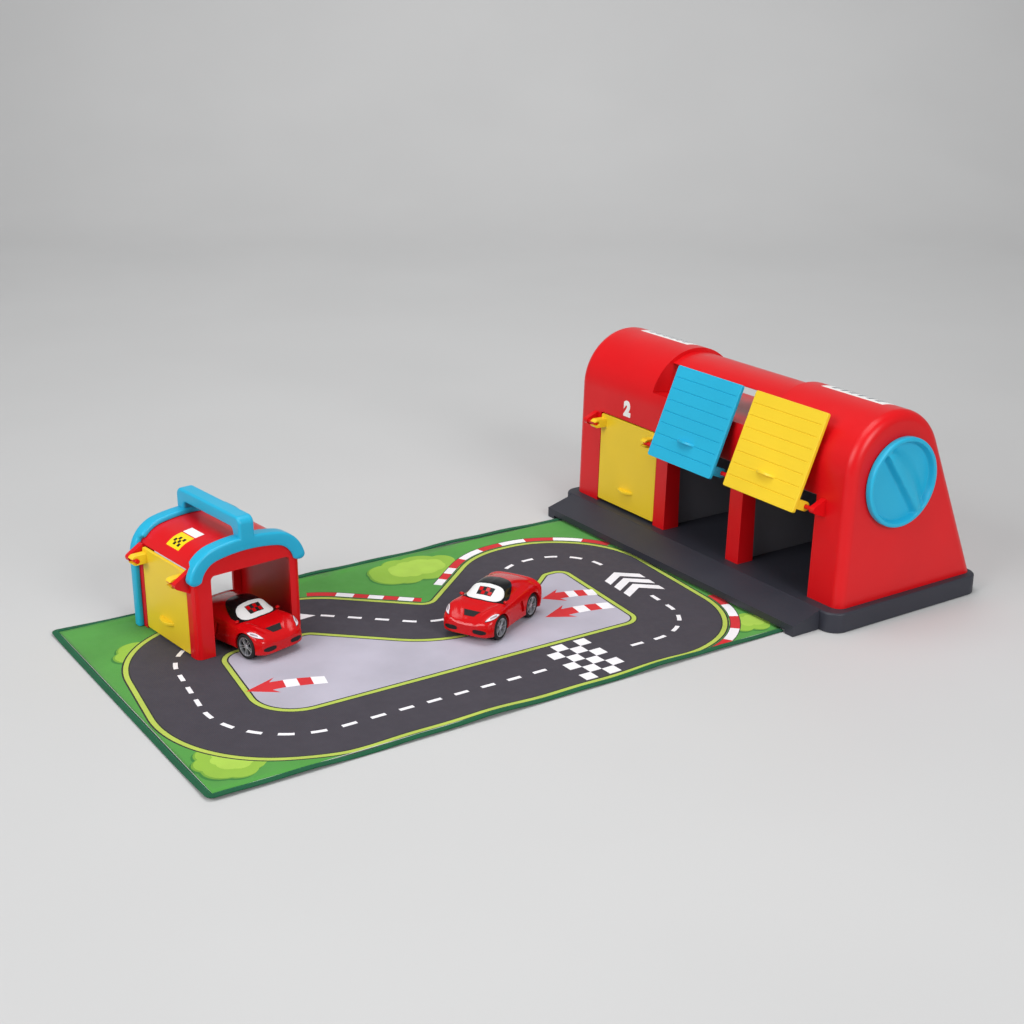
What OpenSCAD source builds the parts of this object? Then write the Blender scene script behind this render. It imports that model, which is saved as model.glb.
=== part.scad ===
// Roll-out toy race track: a pit station that winds a printed play mat onto a drum,
// with three flip-up doors, a small portable garage and two toy cars.
// Millimetres, +Z up, +X towards the winding knob, the mat rolls out towards -Y.
// The origin is the middle of the footprint, on the floor.

/* [Base] */
// Length of the base along X
base_len = 422; // [400:1:450]
// Depth of the base along Y
base_depth = 191; // [186:1:205]
// Height of the base's deck above the floor
base_h = 19; // [17:0.5:24]
// Radius of the base's corners in plan
base_corner_r = 15; // [8:1:22]
// Wall and deck thickness of the base
base_wall = 3; // [2:0.5:4]
// Thickness of the cover under the base
cover_t = 2.5; // [2:0.5:3.5]

/* [Ramp] */
// Width of the ramp's cheeks beside the mat's way
cheek_w = 10.5; // [5:0.5:14]
// How far the ramp reaches in front of the base
ramp_reach = 31.5; // [20:0.5:45]
// Height of the ramp's front lip above the floor
ramp_lip_h = 10; // [8:0.5:13]
// Thickness of the ramp's plate
ramp_t = 2.5; // [2:0.25:4]
// Height of the slot that the mat leaves through
slot_h = 3.4; // [2.5:0.1:5]

/* [Mat] */
// Distance of the mat's edges inside the shell's ends
mat_inset = 24; // [22:0.5:40]
// Distance from the base's front edge to the mat's free end
mat_out = 583; // [560:1:700]
// Thickness of the mat's fabric
mat_t = 0.8; // [0.5:0.1:1.2]
// Width of the binding along the mat's edges
binding_w = 6; // [4:0.5:10]
// Thickness of the binding
binding_t = 1.4; // [1.2:0.1:2]

/* [Station shell] */
// Width of the deck's edge beside the shell's ends
deck_side = 8; // [5:0.5:14]
// Place of the front wall's foot behind the base's front edge
shell_front = 12; // [8:0.5:16]
// Width of the deck's edge behind the shell
deck_back = 3; // [2:0.5:15]
// Radius of the roof's arch
roof_r = 57; // [48:0.5:60]
// Place of the roof arch's centre behind the base's front edge
roof_y = 73.5; // [66:0.5:80]
// Height of the roof arch's centre
roof_z = 138; // [132:0.5:150]
// Wall thickness of the shell
shell_wall = 3; // [2:0.25:4]
// Fillet between the shell's sides and its ends
end_fillet = 10; // [8:1:20]

/* [Carry handle] */
// Length of the handle's recess in the roof
handle_len = 164; // [120:1:190]
// How far the handle lies below the roof's surface
handle_inset = 4; // [3:0.5:10]
// Thickness of the handle at its middle
handle_t = 15; // [11:0.5:18]
// Radius of the handle's underside
handle_under_r = 60; // [50:1:80]
// Height of the recess floor at the front wall
pocket_front_z = 156; // [150:0.5:162]
// Height of the recess floor at the back wall
pocket_back_z = 140; // [138:0.5:150]

/* [Station doors] */
// Width of the front wall between each end of the shell and the nearest door's opening
end_pier_w = 40; // [34:0.5:46]
// Width of the pillars between the doors' openings
pillar_w = 18.1; // [14:0.1:24]
// Height of a station door
door_h = 94; // [80:0.5:96]
// Thickness of a station door
door_t = 3.5; // [2.5:0.1:5]
// Gap between a door and the edge of its opening
door_gap = 0.6; // [0.4:0.1:1.5]
// Height of the door hinges
hinge_z = 107.5; // [104:0.5:112]
// Distance of the hinge pins in front of the doors' outer face
hinge_out = 11; // [9:0.5:13]
// Height of a door's top edge above its hinge
door_top = 8.9; // [7:0.1:11]
// How far an open door leans back past upright
door_lean = 23; // [15:0.5:24]
// Radius of a hinge pin
pin_r = 2; // [1.5:0.1:2.5]
// Number of plank grooves on a door's inner face
plank_grooves = 7; // [4:1:10]
// Depth of a plank groove
groove_d = 0.7; // [0.4:0.1:1]
// Distance of the outer finger lip below the hinge
lip_drop = 65.5; // [58:0.5:72]
// Distance of the inner finger lip below the hinge
inner_lip_drop = 15; // [13:0.5:22]
// Width of a finger lip
lip_w = 25; // [18:1:34]
// Thickness of a finger lip
lip_t = 2.4; // [1.6:0.1:4]

/* [Winder] */
// Place of the winding axis behind the base's front edge
winder_y = 76.5; // [74:0.5:79]
// Height of the winding axis
winder_z = 130; // [128.5:0.5:131]
// Radius of the winding knob
knob_r = 42; // [34:0.5:44]
// Height of the knob's rim above the shell's end
knob_rim_h = 6.6; // [5:0.1:7]
// Thickness of the knob's dished disc
knob_disc_t = 2.8; // [2:0.1:3.5]
// Width of the knob's rim
knob_rim_w = 4; // [3:0.25:6]
// Width of the knob's grip bar
grip_w = 15; // [11:0.5:20]
// Turn of the grip bar from upright
grip_angle = 36; // [0:1:90]
// Outer radius of the drum tube
drum_r = 7; // [6.5:0.1:7.5]
// Radius of the knob's spigot inside the drum tube
spigot_r = 5; // [4:0.1:5.2]
// Outer radius of a drum bush
bush_r = 9.5; // [9:0.25:11]
// Length of a drum bush
bush_len = 8; // [6:0.5:10]
// Radius of the guide rod at the back of the base
rod_r = 4; // [3:0.25:4.25]
// Distance of the guide rod in front of the base's back edge
rod_inset = 23; // [21:0.5:26]

/* [Portable garage] */
// Place of the garage's middle along X
garage_x = -106; // [-112:1:-100]
// Place of the garage's middle in front of the base
garage_y = -449; // [-460:1:-440]
// Turn of the garage on the mat
garage_turn = 6.2; // [0:0.1:8]
// Length of the garage's shell along its handle
garage_len = 106; // [100:1:116]
// Depth of the garage's shell from door to back wall
garage_depth = 106; // [98:1:114]
// Height of the garage's shell
garage_h = 98; // [92:0.5:106]
// Radius of the garage roof's shoulders
garage_shoulder_r = 28; // [22:1:32]
// Wall thickness of the garage
garage_wall = 3; // [2:0.25:4]
// Width of the garage's door
garage_door_w = 79; // [70:0.5:82]
// Height of the garage's door
garage_door_h = 77; // [68:0.5:79]
// Height of the garage door's hinge
garage_hinge_z = 70; // [62:0.5:71]
// Height of the garage's end openings
garage_open_h = 74; // [60:0.5:76]
// Depth of the garage's end openings along the arch
garage_open_w = 78; // [64:0.5:80]
// Shift of the end openings towards the back wall
garage_open_shift = 3; // [0:0.5:4]
// Thickness of the handle's arch trims over the roof
trim_t = 5; // [3:0.25:6]
// Width of an arch trim along the garage
trim_w = 11; // [8:0.5:14]
// Height where the near trim's ends stop
trim_end_z = 72; // [66:0.5:76]
// Height of the top of the garage's handle
grab_h = 121; // [116:0.5:128]
// Width of the garage's handle
grab_w = 15; // [11:0.5:18]
// Thickness of the garage's handle bar
grab_t = 12; // [9:0.5:13]

/* [Cars] */
// Place of the parked car's middle along X
car_one_x = -64; // [-66:1:-60]
// Place of the parked car's middle in front of the base
car_one_y = -442; // [-444:1:-440]
// Heading of the parked car, from +X
car_one_turn = 15; // [8:1:15]
// Place of the track car's middle along X
car_two_x = 20; // [0:1:40]
// Place of the track car's middle in front of the base
car_two_y = -240; // [-260:1:-200]
// Heading of the track car, from +X
car_two_turn = -62; // [-80:1:-50]
// Distance between a car's axles
wheelbase = 57; // [54:0.5:60]
// Radius of a car's tyre
tyre_r = 11.5; // [10.5:0.1:11.8]
// Width of a car's tyre
tyre_w = 9; // [7:0.25:9.5]
// Radius of a car's rim
rim_r = 8.6; // [7.5:0.1:9]
// Distance over the outer faces of a pair of tyres
car_track = 53; // [51:0.5:54]
// Radius of a car's axle
axle_r = 1.5; // [1.2:0.1:2]

/* [Fits] */
// Radial clearance of a pin or shaft that turns
run_gap = 0.08; // [0.03:0.01:0.1]
// Gap between pieces that rest on each other but come apart
rest_gap = 0.3; // [0.2:0.05:0.4]
// Clearance round a fixed piece in its seat
seat_gap = 0.05; // [0.03:0.01:0.1]

/* [Hidden] */
$fn = 48;

red = [0.80, 0.05, 0.07];
yellow = [0.95, 0.80, 0.12];
blue = [0.12, 0.63, 0.84];
slate = [0.20, 0.20, 0.23];
black = [0.05, 0.05, 0.05];
steel = [0.75, 0.75, 0.77];
green = [0.30, 0.62, 0.24];
dark_green = [0.02, 0.30, 0.16];
white = [0.93, 0.93, 0.92];

// Small overlap for clean cuts
cut = 1;
// The base's front edge in the part's frame, so that the footprint is centred
base_front_y = (mat_out - base_depth) / 2;
shell_len = base_len - 2 * deck_side;
shell_back = base_depth - deck_back;
mat_w = shell_len - 2 * mat_inset;
rod_y = base_depth - rod_inset;

// Shell walls: each foot is a point, and its wall is tangent to the roof's arch
foot_z = base_h;
function foot_dist(y) = norm([roof_y - y, roof_z - foot_z]);
function foot_angle(y) = atan2(roof_z - foot_z, roof_y - y);
front_normal = foot_angle(shell_front) + asin(roof_r / foot_dist(shell_front)) + 90;
back_normal = foot_angle(shell_back) - asin(roof_r / foot_dist(shell_back)) - 90;
// Depth of a wall's surface at a height, for a wall with a given normal and inset
function wall_y(normal, inset, z) =
    roof_y + (roof_r - inset - (z - roof_z) * sin(normal)) / cos(normal);
wall_lean = 180 - front_normal;
end_inner_x = shell_len / 2 - shell_wall;

// Station doors
hinge_y = wall_y(front_normal, 0, hinge_z) - hinge_out;
open_w = (shell_len - 2 * end_pier_w - 2 * pillar_w) / 3;
door_w = open_w - 2 * door_gap;
door_pitch = open_w + pillar_w;
open_top = hinge_z + door_top + door_gap + 0.4;
jamb_d = 14;
jamb_back_y = wall_y(front_normal, 0, open_top) + shell_wall / 2 + jamb_d;
lug_t = 6;
lug_rise = 9;
// A lip's root reaches deeper than the plank grooves
lip_root = groove_d + 0.5;
hook_len = 8;
hook_edge = 0.8;
hook_wall = 2.6;
hook_mouth = 1.7 * pin_r;
pin_len = 13;
door_closed_turn = -wall_lean;
door_open_turn = -(180 + door_lean);
// The outer lip of an open door comes to rest on the roof
open_normal = [cos(door_lean), -sin(door_lean)];
open_along = [sin(door_lean), cos(door_lean)];
roof_from_hinge = [roof_y - hinge_y, roof_z - hinge_z];
lip_offset = lip_drop - open_along * roof_from_hinge;
lip_reach = open_normal * roof_from_hinge + hinge_out
    - sqrt(pow(roof_r + 2 * rest_gap, 2) - pow(max(0, abs(lip_offset) - lip_t), 2));

// Winder
knob_x = shell_len / 2 + rest_gap;
spigot_len = 24;
drum_end_x = end_inner_x - rest_gap;
boss_wall = 3;
boss_len = bush_len + 2;
knob_pin_r = 1.25;
knob_pin_x = end_inner_x - boss_len - 4;
wrap_r = drum_r + rest_gap + mat_t / 2;
clamp_t = 2.2;
clamp_start = 300;
clamp_sweep = 50;
rod_turn_r = rod_r + rest_gap + mat_t / 2;
lead_z = cover_t + 1 + mat_t / 2;
rod_z = lead_z + rod_turn_r;
rod_half = mat_w / 2 + 10;
bracket_t = 4;
lead_gap = mat_w / 2 + 3;
lead_end_y = -ramp_reach + 8;

// Path of the hidden length of mat, from the drum round the guide rod to the slot
belt = [rod_y - winder_y, rod_z - winder_z];
belt_angle = atan2(belt[1], belt[0]) + 90 - asin((wrap_r - rod_turn_r) / norm(belt));
lead_first = clamp_start - 3;
lead_path = concat(
    [for (i = [0 : 12])
        let (a = lead_first + (belt_angle - lead_first) * i / 12)
        [winder_y + wrap_r * cos(a), winder_z + wrap_r * sin(a)]],
    [for (i = [0 : 6])
        let (a = belt_angle + (-90 - belt_angle) * i / 6)
        [rod_y + rod_turn_r * cos(a), rod_z + rod_turn_r * sin(a)]],
    [[base_wall, lead_z], [lead_end_y + 6, mat_t / 2], [lead_end_y, mat_t / 2]]
);

// Bay liner
liner_t = 2.5;
ceiling_z = winder_z - 18;
liner_front_y = jamb_back_y + seat_gap;
liner_back_gap = 8;
function lead_y(z) = rod_y + (rod_turn_r - (z - rod_z) * sin(belt_angle)) / cos(belt_angle);
liner_end_x = door_pitch * 1.5 - pillar_w / 2 + 4;

// Fasteners
screw_r = 1.4;
screw_head_r = 3.4;
screw_head_h = 2.2;
boss_r = 5;
shell_boss_h = 22;
shell_screw_x = shell_len / 2 - 10;
rib_len = shell_len / 2 - shell_screw_x - 1;
shell_screw_ys = [shell_front + 22, shell_back - 33];
cover_screw_x = base_len / 2 - 14;
cover_screw_ys = [rod_inset, base_depth / 2, rod_y];
cover_boss_r = 4.5;
cover_head_r = 2.8;
cover_head_h = 1.6;

// Portable garage
garage_z = mat_t + rest_gap;
crown_angle = 12;
garage_flat = garage_depth / 2 - garage_shoulder_r;
shoulder_steps = 7;
crown_steps = 8;
// Outline of an arch: straight sides, round shoulders and a shallow crown
function arch_outline(grow, foot) =
    let (
        r = garage_shoulder_r + grow,
        crown_r = r + garage_flat / sin(crown_angle),
        crown_c = -garage_flat / tan(crown_angle),
        spring = garage_h - crown_c - (garage_shoulder_r + garage_flat / sin(crown_angle))
    )
    concat(
        [[garage_flat + r, foot]],
        [for (i = [0 : shoulder_steps])
            let (a = (90 - crown_angle) * i / shoulder_steps)
            [garage_flat + r * cos(a), spring + r * sin(a)]],
        [for (i = [1 : crown_steps])
            let (a = 90 - crown_angle + 2 * crown_angle * i / crown_steps)
            [crown_r * cos(a), spring + crown_c + crown_r * sin(a)]],
        [for (i = [1 : shoulder_steps])
            let (a = 90 + crown_angle + (90 - crown_angle) * i / shoulder_steps)
            [-garage_flat + r * cos(a), spring + r * sin(a)]],
        [[-garage_flat - r, foot]]
    );
garage_door_t = 3.2;
garage_hinge_out = 10;
garage_hinge_v = -garage_depth / 2 - garage_hinge_out;
garage_door_lift = 1.5;
garage_door_top = garage_door_h + garage_door_lift - garage_hinge_z;
garage_open_top = garage_door_h + garage_door_lift + 2 * door_gap;
garage_open_len = garage_door_w + 2 * door_gap;
// Depth of the door's way through the wall, past the sweep of the door's top edge
garage_door_room = garage_depth + garage_hinge_v + 2
    + norm([garage_hinge_out + garage_door_t, garage_door_top]);
garage_lug_u = garage_open_len / 2 + lug_t / 2;
garage_lug_up = 11;
garage_lug_down = 10;
garage_pin_len = 12;
trim_lip = 3;
trim_cover = 7;
trim_seat = 0.15;

// Cars
car_z = mat_t + rest_gap;
well_r = tyre_r + 1;
well_in = car_track / 2 - tyre_w - 1;
car_belt_z = 27;
// Longer than a car, for forms that are cut together
car_span = 110;
pan_back_x = -39.5;
pan_len = 73;
pan_z = 4;
pan_boss_h = 12;
pan_gap = 0.5;
cabin_front_x = 22;
cabin_back_x = -9;
screen_t = 2.4;
// Half widths along the car, from nose to tail
car_plan_half = [
    [48.5, 7], [47.5, 14], [44.5, 19.5], [39.5, 23.5], [32, 26.4], [24, 27.5],
    [-34, 27.5], [-41, 26], [-45.5, 22], [-47.6, 15], [-48, 7]
];
car_plan = concat(car_plan_half,
    [for (i = [len(car_plan_half) - 1 : -1 : 0]) [car_plan_half[i][0], -car_plan_half[i][1]]]);
// Half widths up the car, from sill to roof
car_front_half = [
    [21, 3.5], [25.5, 5.5], [27.2, 10], [27.5, 16], [27.2, 21], [26, 25.5],
    [23.4, 29.3], [19.6, 33], [15.6, 35.8], [11, 37.3]
];
car_front = concat(car_front_half,
    [for (i = [len(car_front_half) - 1 : -1 : 0]) [-car_front_half[i][0], car_front_half[i][1]]]);
// Side view of the painted body: nose, bonnet, cabin step, rear deck, tail, sill
car_side = [
    [44, 4], [47.4, 6], [48.5, 10.5], [46.8, 16], [41.5, 20.8], [33.5, 24.4],
    [cabin_front_x, car_belt_z],
    [cabin_back_x, car_belt_z], [cabin_back_x, 37], [-18, 36.2], [-30, 33.6], [-41, 31],
    [-45.8, 29], [-48, 24], [-47.4, 9], [-44, 4]
];
// Side view of the cabin's glass, from the foot of the screen to the roof
cabin_side = [
    [cabin_front_x, car_belt_z], [15, 31.2], [7, 34.8], [-1, 36.7], [cabin_back_x, 37]
];

// Moves pieces drawn from the base's front edge into the part's frame
module at_base() { translate([0, base_front_y, 0]) children(); }

// Extrudes an outline in the YZ plane along X, centred
module along_x(len) { rotate([90, 0, 90]) linear_extrude(len, center = true) children(); }

// A round bar along X between two places
module x_bar(r, x0, x1) { translate([x0, 0, 0]) rotate([0, 90, 0]) cylinder(r = r, h = x1 - x0); }

// A block with round corners in plan
module plan_block(len, depth, h, r) {
    linear_extrude(h) union() {
        square([len - 2 * r, depth], center = true);
        square([len, depth - 2 * r], center = true);
        for (x = [-1, 1], y = [-1, 1])
            translate([x * (len / 2 - r), y * (depth / 2 - r)]) circle(r);
    }
}

// A screw with its head down and its shank up
module screw(r, head_r, head_h, len) {
    cylinder(r = head_r, h = head_h);
    translate([0, 0, head_h]) cylinder(r = r, h = len);
}

// The base's outline, shrunk on all sides
module base_block(shrink, h) {
    translate([0, base_depth / 2, 0])
        plan_block(base_len - 2 * shrink, base_depth - 2 * shrink, h, base_corner_r - shrink);
}

module each_shell_screw() {
    for (x = [-1, 1], y = shell_screw_ys) translate([x * shell_screw_x, y, 0]) children();
}

module each_cover_screw() {
    for (x = [-1, 1], y = cover_screw_ys) translate([x * cover_screw_x, y, 0]) children();
}

module base_deck() {
    deck_under = base_h - base_wall;
    color(slate) at_base() difference() {
        union() {
            difference() {
                base_block(0, base_h);
                translate([0, 0, -cut]) base_block(base_wall, deck_under + cut);
            }
            each_cover_screw()
                translate([0, 0, cover_t]) cylinder(r = cover_boss_r, h = base_h - cover_t - cut);
            for (x = [-1, 1])
                translate([x * (rod_half - bracket_t / 2) - bracket_t / 2, rod_y - 8, cover_t + 0.5])
                    cube([bracket_t, 16, base_h - cover_t - 1.5]);
        }
        // Way for the mat through the front wall
        translate([-lead_gap, -cut, -cut]) cube([2 * lead_gap, base_wall + 2 * cut, 9 + cut]);
        // Way for the mat up through the deck, behind the bays
        translate([-lead_gap, lead_y(base_h) - 7, deck_under - cut])
            cube([2 * lead_gap, 13, base_wall + 2 * cut]);
        each_shell_screw() cylinder(r = screw_r + 0.3, h = base_h + cut);
        each_cover_screw() translate([0, 0, -cut]) cylinder(r = screw_r, h = deck_under - 1 + cut);
        translate([0, rod_y, rod_z]) x_bar(rod_r + seat_gap, -base_len / 2 + 8, base_len / 2 - 8);
    }
}

module base_cover() {
    color(slate) at_base() difference() {
        base_block(base_wall + rest_gap, cover_t);
        each_cover_screw() {
            translate([0, 0, -cut]) cylinder(r = screw_r + 0.3, h = cover_t + 2 * cut);
            translate([0, 0, -cut]) cylinder(r = cover_head_r + 0.3, h = cover_head_h + cut);
        }
    }
}

module ramp() {
    slope = atan2(base_h - ramp_lip_h, ramp_reach);
    drop = ramp_t / cos(slope);
    lip_t_y = 2.5;
    plate = [
        [0, base_h], [-ramp_reach, ramp_lip_h], [-ramp_reach, slot_h],
        [-ramp_reach + lip_t_y, slot_h], [-ramp_reach + lip_t_y, ramp_lip_h - drop + 1],
        [0, base_h - drop]
    ];
    cheek = [[0, base_h], [-ramp_reach, ramp_lip_h], [-ramp_reach, 0], [0, 0]];
    color(slate) at_base() {
        along_x(2 * lead_gap) polygon(plate);
        for (x = [-1, 1])
            translate([x * (lead_gap + cheek_w / 2), 0, 0]) along_x(cheek_w) polygon(cheek);
    }
}

// A half plane's section with its two outer corners rounded
module rounded_edge(depth, half, r) {
    translate([-depth, -half]) square([depth - r, 2 * half]);
    translate([-depth, r - half]) square([depth, 2 * (half - r)]);
    for (s = [-1, 1]) translate([-r, s * (half - r)]) circle(r);
}

// The station's solid form, shrunk by a wall thickness: an arched roof on two leaning walls,
// with one fillet that runs round both ends
module shell_form(wall, low) {
    r = end_fillet - wall;
    half = shell_len / 2 - wall;
    top_r = roof_r - wall;
    far = 3 * roof_r;
    translate([0, roof_y, roof_z]) {
        rotate([back_normal, 0, 0]) rotate([90, 0, 90])
            rotate_extrude(angle = front_normal - back_normal)
                translate([top_r, 0]) rounded_edge(top_r, half, r);
        intersection() {
            along_x(shell_len) polygon([
                [0, 0], far * [cos(front_normal), sin(front_normal)], [-far, low - roof_z],
                [far, low - roof_z], far * [cos(back_normal), sin(back_normal)]
            ]);
            wall_prism(front_normal, top_r, half, r);
            wall_prism(back_normal, top_r, half, r);
        }
    }
}

// Everything behind one wall's surface, with the wall's ends rounded
module wall_prism(normal, dist, half, r) {
    rotate([normal, 0, 0]) translate([0, dist, 0]) rotate([0, 0, 90])
        linear_extrude(6 * roof_r, center = true) rounded_edge(5 * roof_r, half, r);
}

// Room for a hand in the roof: everything above a sloping floor, between the shoulders
module hand_room(grow) {
    y0 = shell_front - 20;
    y1 = shell_back;
    front_y = wall_y(front_normal, 0, pocket_front_z);
    back_y = wall_y(back_normal, 0, pocket_back_z);
    slope = (pocket_back_z - pocket_front_z) / (back_y - front_y);
    top = roof_z + roof_r + 10;
    along_x(handle_len + 2 * grow) polygon([
        [y0, pocket_front_z + slope * (y0 - front_y) - grow], [y0, top],
        [y1, top], [y1, pocket_front_z + slope * (y1 - front_y) - grow]
    ]);
}

// The carry handle: a lens between the lowered roof line and a shallow underside
module handle_bar() {
    top_r = roof_r - handle_inset;
    under_z = roof_z + top_r - handle_t + handle_under_r;
    along_x(handle_len + 2 * shell_wall) intersection() {
        translate([roof_y, roof_z]) circle(top_r, $fn = 96);
        translate([roof_y, under_z]) circle(handle_under_r, $fn = 96);
    }
}

module hinge_lug() {
    wall = wall_y(front_normal, 0, hinge_z) + shell_wall / 2;
    tip = hinge_y - pin_r - 1.4;
    along_x(lug_t) polygon([
        [wall, hinge_z + lug_rise], [wall, hinge_z - lug_rise],
        [tip + 1.5, hinge_z - pin_r - 1.6], [tip, hinge_z - pin_r],
        [tip, hinge_z + pin_r], [tip + 1.5, hinge_z + pin_r + 1.6]
    ]);
}

// Pillars and jambs behind the front wall, beside the bays
module bay_jambs() {
    y0 = wall_y(front_normal, 0, open_top) + shell_wall / 2;
    foot = wall_y(front_normal, 0, foot_z) + shell_wall / 2;
    profile = [[foot, foot_z], [y0, open_top + 2], [jamb_back_y, open_top + 2], [jamb_back_y, foot_z]];
    for (x = [-0.5, 0.5]) translate([x * door_pitch, 0, 0]) along_x(pillar_w) polygon(profile);
    jamb_w = 4;
    for (x = [-1, 1])
        translate([x * (door_pitch + open_w / 2 + jamb_w / 2), 0, 0]) along_x(jamb_w) polygon(profile);
}

module station_shell() {
    color(red) at_base() difference() {
        union() {
            difference() {
                shell_form(0, foot_z);
                difference() {
                    shell_form(shell_wall, foot_z - cut);
                    hand_room(shell_wall);
                }
                hand_room(0);
                for (i = [-1 : 1])
                    translate([i * door_pitch - open_w / 2, 0, foot_z - cut])
                        cube([open_w, shell_front + 22, open_top - foot_z + cut]);
            }
            handle_bar();
            bay_jambs();
            for (i = [-1.5 : 1 : 1.5]) translate([i * door_pitch, 0, 0]) hinge_lug();
            for (i = [-1 : 1], s = [-1, 1]) {
                pin_x = i * door_pitch + s * (door_pitch - lug_t - pin_len) / 2;
                translate([pin_x, hinge_y, hinge_z]) x_bar(pin_r, -pin_len / 2 - 0.5, pin_len / 2 + 0.5);
            }
            // Bosses for the drum bushes and the screws
            for (s = [-1, 1]) {
                translate([s * (end_inner_x - boss_len / 2), winder_y, winder_z])
                    x_bar(bush_r + boss_wall, -boss_len / 2 - 0.5, boss_len / 2 + 0.5);
                for (y = shell_screw_ys)
                    translate([s * (shell_screw_x + rib_len / 2) - rib_len / 2, y - 1.5, foot_z])
                        cube([rib_len, 3, shell_boss_h - 2]);
            }
            each_shell_screw() translate([0, 0, foot_z]) cylinder(r = boss_r, h = shell_boss_h);
        }
        for (s = [-1, 1])
            translate([s * (end_inner_x - boss_len / 2), winder_y, winder_z])
                x_bar(bush_r + seat_gap, -boss_len / 2 - (s > 0 ? cut : 0),
                    boss_len / 2 + (s > 0 ? 0 : cut));
        translate([shell_len / 2, winder_y, winder_z]) x_bar(spigot_r + 0.6, -shell_wall - cut, cut);
        each_shell_screw() translate([0, 0, foot_z - cut]) cylinder(r = screw_r, h = shell_boss_h - 2);
    }
}

module bay_liner() {
    back_low = lead_y(foot_z) - liner_back_gap;
    back_high = lead_y(ceiling_z) - liner_back_gap;
    outline = [
        [back_low, foot_z], [back_high, ceiling_z], [liner_front_y, ceiling_z],
        [liner_front_y, ceiling_z - liner_t], [back_high - liner_t, ceiling_z - liner_t],
        [back_low - liner_t * 1.25, foot_z]
    ];
    side = [
        [back_low, foot_z], [back_high, ceiling_z], [liner_front_y, ceiling_z], [liner_front_y, foot_z]
    ];
    color(black) at_base() {
        along_x(2 * liner_end_x) polygon(outline);
        for (i = [-1.5 : 1 : 1.5])
            translate([i * door_pitch + (abs(i) > 1 ? -sign(i) * (pillar_w / 2 - 3) : 0), 0, 0])
                along_x(liner_t) polygon(side);
    }
}

// A half-moon finger lip, flat on the XY plane, reaching towards -Y
module finger_lip(width, reach) {
    r = (pow(width / 2, 2) + pow(reach, 2)) / (2 * reach);
    translate([0, 0, -lip_t / 2]) linear_extrude(lip_t) intersection() {
        translate([0, r - reach]) circle(r, $fn = 96);
        translate([-width / 2, -reach]) square([width, reach + lip_root]);
    }
}

// A clip that snaps on a hinge pin, its mouth towards -Y, on a web to the door
module hinge_hook(out) {
    outer_r = pin_r + hook_wall;
    difference() {
        union() {
            x_bar(outer_r, -hook_len / 2, hook_len / 2);
            translate([-hook_len / 2, 0, -outer_r]) cube([hook_len, out + 0.5, 2 * outer_r]);
        }
        x_bar(pin_r + run_gap, -hook_len, hook_len);
        translate([-hook_len, -outer_r - cut, -hook_mouth / 2])
            cube([2 * hook_len, outer_r + cut, hook_mouth]);
    }
}

// A flip-up door hanging from its hinge axis, with its outer face towards -Y
module flip_door(width, height, thick, top, out, grooves, lip_low, lip_far, lip_high) {
    union() {
        difference() {
            translate([-width / 2, out, top - height]) cube([width, thick, height]);
            for (i = [1 : grooves])
                translate([0, out + thick, top - height * i / (grooves + 1)])
                    cube([width - 8, 2 * groove_d, 1.2], center = true);
        }
        for (s = [-1, 1]) translate([s * (width / 2 - hook_edge - hook_len / 2), 0, 0]) hinge_hook(out);
        translate([0, out, -lip_low]) finger_lip(lip_w, lip_far);
        translate([0, out + thick, -lip_high]) mirror([0, 1, 0]) finger_lip(lip_w, lip_far);
    }
}

module station_door(turn) {
    translate([0, hinge_y, hinge_z]) rotate([turn, 0, 0])
        flip_door(door_w, door_h, door_t, door_top, hinge_out, plank_grooves,
            lip_drop, lip_reach, inner_lip_drop);
}

module left_door() {
    color(yellow) at_base() translate([-door_pitch, 0, 0]) station_door(door_closed_turn);
}

module middle_door() { color(blue) at_base() station_door(door_open_turn); }

module right_door() {
    color(yellow) at_base() translate([door_pitch, 0, 0]) station_door(door_open_turn);
}

module at_winder() { at_base() translate([0, winder_y, winder_z]) children(); }

module winder_knob() {
    rim_x = knob_x + knob_rim_h;
    color(blue) at_winder() difference() {
        union() {
            x_bar(knob_r, knob_x, knob_x + knob_disc_t);
            difference() {
                x_bar(knob_r, knob_x, rim_x);
                x_bar(knob_r - knob_rim_w, knob_x - cut, rim_x + cut);
            }
            rotate([grip_angle, 0, 0]) intersection() {
                translate([knob_x, -grip_w / 2, -knob_r]) cube([knob_rim_h + 1, grip_w, 2 * knob_r]);
                x_bar(knob_r - knob_rim_w / 2, knob_x, rim_x + 2 * cut);
            }
            x_bar(spigot_r, knob_x - spigot_len, knob_x + 0.5);
        }
        translate([knob_pin_x, 0, 0]) cylinder(r = knob_pin_r + seat_gap, h = 4 * drum_r, center = true);
    }
}

module winder_drum() {
    color(white) at_winder() difference() {
        x_bar(drum_r, -drum_end_x, drum_end_x);
        x_bar(spigot_r + seat_gap, -shell_len, shell_len);
        translate([knob_pin_x, 0, 0]) cylinder(r = knob_pin_r + seat_gap, h = 4 * drum_r, center = true);
    }
}

module knob_pin() {
    color(steel) at_winder() translate([knob_pin_x, 0, 0])
        cylinder(r = knob_pin_r, h = 2 * drum_r - 0.4, center = true);
}

module drum_bushes() {
    color(white) at_winder() for (s = [-1, 1])
        translate([s * (end_inner_x - boss_len + bush_len / 2 + 1), 0, 0]) difference() {
            x_bar(bush_r, -bush_len / 2, bush_len / 2);
            x_bar(drum_r + run_gap, -bush_len, bush_len);
        }
}

module mat_clamp() {
    half = mat_w / 2 - 6;
    color(slate) at_winder() rotate([clamp_start, 0, 0]) rotate([90, 0, 90]) translate([0, 0, -half])
        rotate_extrude(angle = clamp_sweep) translate([drum_r + 0.02, 0]) square([clamp_t, 2 * half]);
}

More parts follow.
